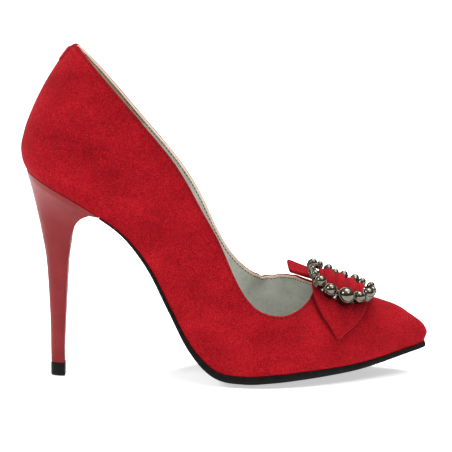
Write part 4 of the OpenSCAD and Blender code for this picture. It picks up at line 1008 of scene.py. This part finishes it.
def stadium(half, thickness, n=28, m=7):
    """Section of a thick strip with round edges: place across and height over the middle."""
    r = thickness/2
    a = np.linspace(-half + r, half - r, n)
    right = fillet((half - r, 0), r, -90, 90, m)[1:-1]
    left = fillet((r - half, 0), r, 90, 270, m)[1:-1]
    top, low = np.stack([a[::-1], r + 0*a], -1), np.stack([a, -r + 0*a], -1)
    return np.concatenate([low, right, top, left])


WING_EDGES = np.array([
    [0.97, 0.819, 0.047], [0.90, 0.817, 0.064], [0.82, 0.817, 0.073], [0.73, 0.818, 0.073],
    [0.64, 0.820, 0.068], [0.56, 0.822, 0.059], [0.48, 0.824, 0.047], [0.42, 0.8245, 0.035],
    [0.355, 0.8225, 0.021],
    [0.31, 0.8195, 0.010], [0.278, 0.818, 0.003]])[::-1]
WING_LOW, WING_HIGH = 0.278, 0.97
WING_CLEAR, WING_PUFF, WING_CUP = 1.0, 3.2, 0.8
wing_rows = row_at(with_ghosts(WING_EDGES, [0, 0, 0], [0, 0, 0]), np.concatenate(
    [[WING_LOW, 0.280, 0.284, 0.290, 0.299], np.linspace(0.31, WING_HIGH, 60)]))
sections = []
for r in wing_rows:
    ahead, behind = (skin_point(r[1] + d, r[0], LATERAL) for d in (0.01, -0.01))
    scale = np.linalg.norm(ahead - behind)/0.02
    half = max(r[2]*scale, 0.5)
    strip = stadium(max(half, WING_T*0.3), min(WING_T, 1.2*half))
    v = strip[:, 0]/half
    t = r[1] + v*r[2]
    share = (r[0] - WING_LOW)/(WING_HIGH - WING_LOW)
    lift = WING_CLEAR + WING_PUFF*share**0.8 - WING_CUP*np.minimum(v*v, 1) + WING_T/2
    n = skin_normal(t, r[0], LATERAL)
    sections.append(skin_point(t, r[0], LATERAL) + n*(lift + strip[:, 1])[:, None])
lateral_wing = Mesh().loft(sections).build("bow_wing_outer", [suede_bow], sharp=60)
place(lateral_wing, "suede", "bow_wing_lateral")

WING_ROOT, WING_TIP = np.array([157.0, 5, 48]), np.array([135.5, 10, 54.1])
WING_EDGE = unit(np.array([-0.08, 0.965, 0.248]))
WING_HALF_ROOT, WING_HALF_TIP, WING_CORNER = 4.3, 7.25, 2.0
long = np.linalg.norm(WING_TIP - WING_ROOT)
way = unit(WING_TIP - WING_ROOT)
face = unit(np.cross(WING_EDGE, way))


def wing_half(s):
    """Half width along the inner wing, with rounded corners at its free end."""
    near_end = np.clip((s - (long - WING_CORNER))/WING_CORNER, 0, 1)
    return (WING_HALF_ROOT + (WING_HALF_TIP - WING_HALF_ROOT)*s/long
            - WING_CORNER*(1 - np.sqrt(np.maximum(0, 1 - near_end**2))))


sections = []
for s in np.concatenate([np.linspace(0, long - WING_CORNER, 40), long - WING_CORNER
                         + WING_CORNER*np.sin(np.linspace(0, math.pi/2, 14))[1:]]):
    end = max(0.0, s - (long - 1.0))
    thin = WING_T*math.sqrt(max(0.05, 1 - end*end))
    strip = stadium(wing_half(s), thin)
    strip[:, 0] -= np.clip(-strip[:, 0]/5, 0, 1)*1.3*(1 - s/long)
    cup = 0.5*(strip[:, 0]/WING_HALF_TIP)**2*(s/long)
    sections.append(WING_ROOT + way*s + strip[:, :1]*WING_EDGE + (strip[:, 1] + cup)[:, None]*face)
place(Mesh().loft(sections).build("bow_wing_inner", [suede_bow], sharp=60), "suede", "bow_wing_medial")

FOLD_PITCH, FOLD_SLANT, FOLD_DEPTH = 6.2, 0.16, 0.6
KNOT_HALF, KNOT_LONG, KNOT_ROUND, KNOT_H, KNOT_LOW, KNOT_BASE = 10.4, 12.2, 12.5, 5.4, -2.2, -3.4
KNOT_CROWN, KNOT_CLOSE = 13, 15.5  # half lengths over which the knot falls off, across and along


def knot_end(y):
    return KNOT_LONG*np.sqrt(np.maximum(0.1, 1 - (y/KNOT_ROUND)**2))


def knot_top(x, y):
    fold = np.abs(np.cos(math.pi*(x + FOLD_SLANT*y)/FOLD_PITCH))
    crown = np.sqrt(np.maximum(0, 1 - (y/KNOT_CROWN)**2))
    close = np.sqrt(np.maximum(0.05, 1 - (x/KNOT_CLOSE)**4))
    return KNOT_LOW + KNOT_H*crown*(1 - FOLD_DEPTH + FOLD_DEPTH*fold**0.7)*close


ys = np.linspace(KNOT_HALF, -KNOT_HALF, 60)[:, None]
us = np.linspace(-1, 1, 121)[None, :]
xs = us*knot_end(ys)
mesh = Mesh().slab(on_ring(bent(xs, ys + 0*us, KNOT_BASE)), on_ring(bent(xs, ys + 0*us, knot_top(xs, ys))))
place(mesh.build("bow_folds", [suede_bow], sharp=50), "suede", "bow_pleats")

# ---- jewelled ring ----
BEADS = ((20, 1.8), (47, 1.8), (63, 2.2), (84, 2.1), (100, 1.7), (115, 2.0), (137, 1.6), (179, 2.3),
         (196, 1.5), (212, 1.9), (231, 2.7), (255, 3.0), (284, 3.9), (309, 2.7), (331, 2.8), (354, 1.8))
ACCENTS = ((160, 1.0), (243, 0.8), (269, 0.8), (297, 0.8), (343, 0.9), (33, 0.8))
PLATE_HALF, PLATE_T, CUP_WALL, CUP_CLEAR, ACCENT_IN = 1.7, 1.0, 0.35, 0.03, 3.1


def ring_place(angle, out):
    a = np.radians(angle)
    return (RING_L/2 + out)*np.cos(a), (RING_W/2 + out)*np.sin(a)


def bead_height(r):
    return PLATE_T + 0.25 + 0.9*r


def ball(r):
    a = np.radians(np.linspace(-90, 90, 27))
    return turned(np.stack([r*np.cos(a), r*np.sin(a)], -1))


corner = 0.22
rim = np.concatenate([fillet((side*(PLATE_HALF - corner), z), corner, start, start + 90, 4)
                      for side, z, start in ((1, corner, -90), (1, PLATE_T - corner, 0),
                                             (-1, PLATE_T - corner, 90), (-1, corner, 180))])
sections = []
for angle in np.arange(180)*2.0:
    x, y = ring_place(angle, rim[:, 0])
    sections.append(on_ring(bent(x, y, rim[:, 1])))
sections = np.array(sections + sections[:1])
place(Mesh().grid(sections, closed=True).build("ring_band", [gunmetal_cast]), "gunmetal", "ring_plate")

cups, beads, accents = Mesh(), Mesh(), Mesh()
for angle, r in BEADS:
    x, y = ring_place(angle, 0)
    lip = bead_height(r) - PLATE_T + 0.15*r
    inside = r + CUP_CLEAR
    wall = inside + CUP_WALL - CUP_CLEAR
    profile = [(wall, 0.0), (wall, lip*0.5), (wall, lip - 0.12), (wall - 0.05, lip - 0.03),
               (wall - 0.13, lip), (inside + 0.08, lip), (inside, lip - 0.06)]
    bowl = np.radians(np.linspace(8, -90, 14))
    profile += [(inside*math.cos(b), bead_height(r) - PLATE_T + inside*math.sin(b)) for b in bowl]
    cups.loft([on_bend(p, x, y, PLATE_T + 0.01) for p in turned(profile)])
    beads.loft([on_bend(p, x, y, bead_height(r)) for p in ball(r)])
for angle, r in ACCENTS:
    x, y = ring_place(angle, r - ACCENT_IN)
    accents.loft([on_bend(p, x, y, PLATE_T + 0.8*r) for p in ball(r)])
place(cups.build("bead_cups", [gunmetal_cast]), "gunmetal", "ring_cups")
place(beads.build("bead_balls", [gunmetal]), "gunmetal", "ring_beads")
place(accents.build("accent_balls", [gunmetal]), "gunmetal", "ring_accent_beads")

# ---- view ----
scene = bpy.context.scene


def aim_at(thing, stand, target):
    thing.location = stand
    thing.rotation_euler = (Vector(target) - Vector(stand)).to_track_quat("-Z", "Y").to_euler()


camera = bpy.data.objects.new("camera", bpy.data.cameras.new("camera"))
camera.data.lens = 209.8
camera.data.sensor_width = 36
aim_at(camera, (0, -1.3168, 0.2798), (0, -0.0025, 0.0763))
scene.collection.objects.link(camera)
scene.camera = camera
scene.view_settings.view_transform = "Standard"

world = bpy.data.worlds.new("studio")
world.use_nodes = True
sky_tree = world.node_tree
direction = sky_tree.nodes.new("ShaderNodeTexCoord").outputs["Generated"]
split = sky_tree.nodes.new("ShaderNodeSeparateXYZ")
height = sky_tree.nodes.new("ShaderNodeValToRGB")
height.color_ramp.elements[0].position, height.color_ramp.elements[0].color = 0.10, (0.10, 0.10, 0.10, 1)
height.color_ramp.elements[1].position, height.color_ramp.elements[1].color = 0.75, (1, 0.99, 0.97, 1)
sky_tree.links.new(direction, split.inputs["Vector"])
sky_tree.links.new(split.outputs["Z"], height.inputs["Fac"])
sky_tree.links.new(height.outputs["Color"], sky_tree.nodes["Background"].inputs["Color"])
sky_tree.nodes["Background"].inputs["Strength"].default_value = 0.6
scene.world = world


def softbox(name, stand, target, size, power):
    light = bpy.data.lights.new(name, "AREA")
    light.shape, light.size, light.energy = "SQUARE", size, power
    box = bpy.data.objects.new(name, light)
    aim_at(box, stand, target)
    scene.collection.objects.link(box)


softbox("key", (0.6, -0.7, 1.05), (0.02, 0, 0.06), 0.40, 3.6)
softbox("left", (-0.95, -0.30, 0.80), (0, 0, 0.08), 0.35, 7)
softbox("top", (0.15, 0.25, 1.2), (0, 0, 0.05), 0.8, 13)
sun = bpy.data.lights.new("sky", "SUN")
sun.energy, sun.angle = 1.5, math.radians(60)
sky = bpy.data.objects.new("sky", sun)
sky.rotation_euler = (math.radians(6), math.radians(14), 0)
scene.collection.objects.link(sky)

FLOOR_Z = -0.3  # mm, just clear of the sole
ground = Mesh().grid([[(x, y, FLOOR_Z) for x in (-8000, 8000)] for y in (-8000, 20000)])
look = Look("studio_paper", 0.9, Specular_IOR_Level=0.05, Emission_Color=(1, 1, 1, 1), Emission_Strength=0.55)
look.colour(look.noise(60, 2), (0.3, (0.86, 0.86, 0.86)), (0.7, (0.9, 0.9, 0.9)))
ground.build("studio_floor", [look.material])
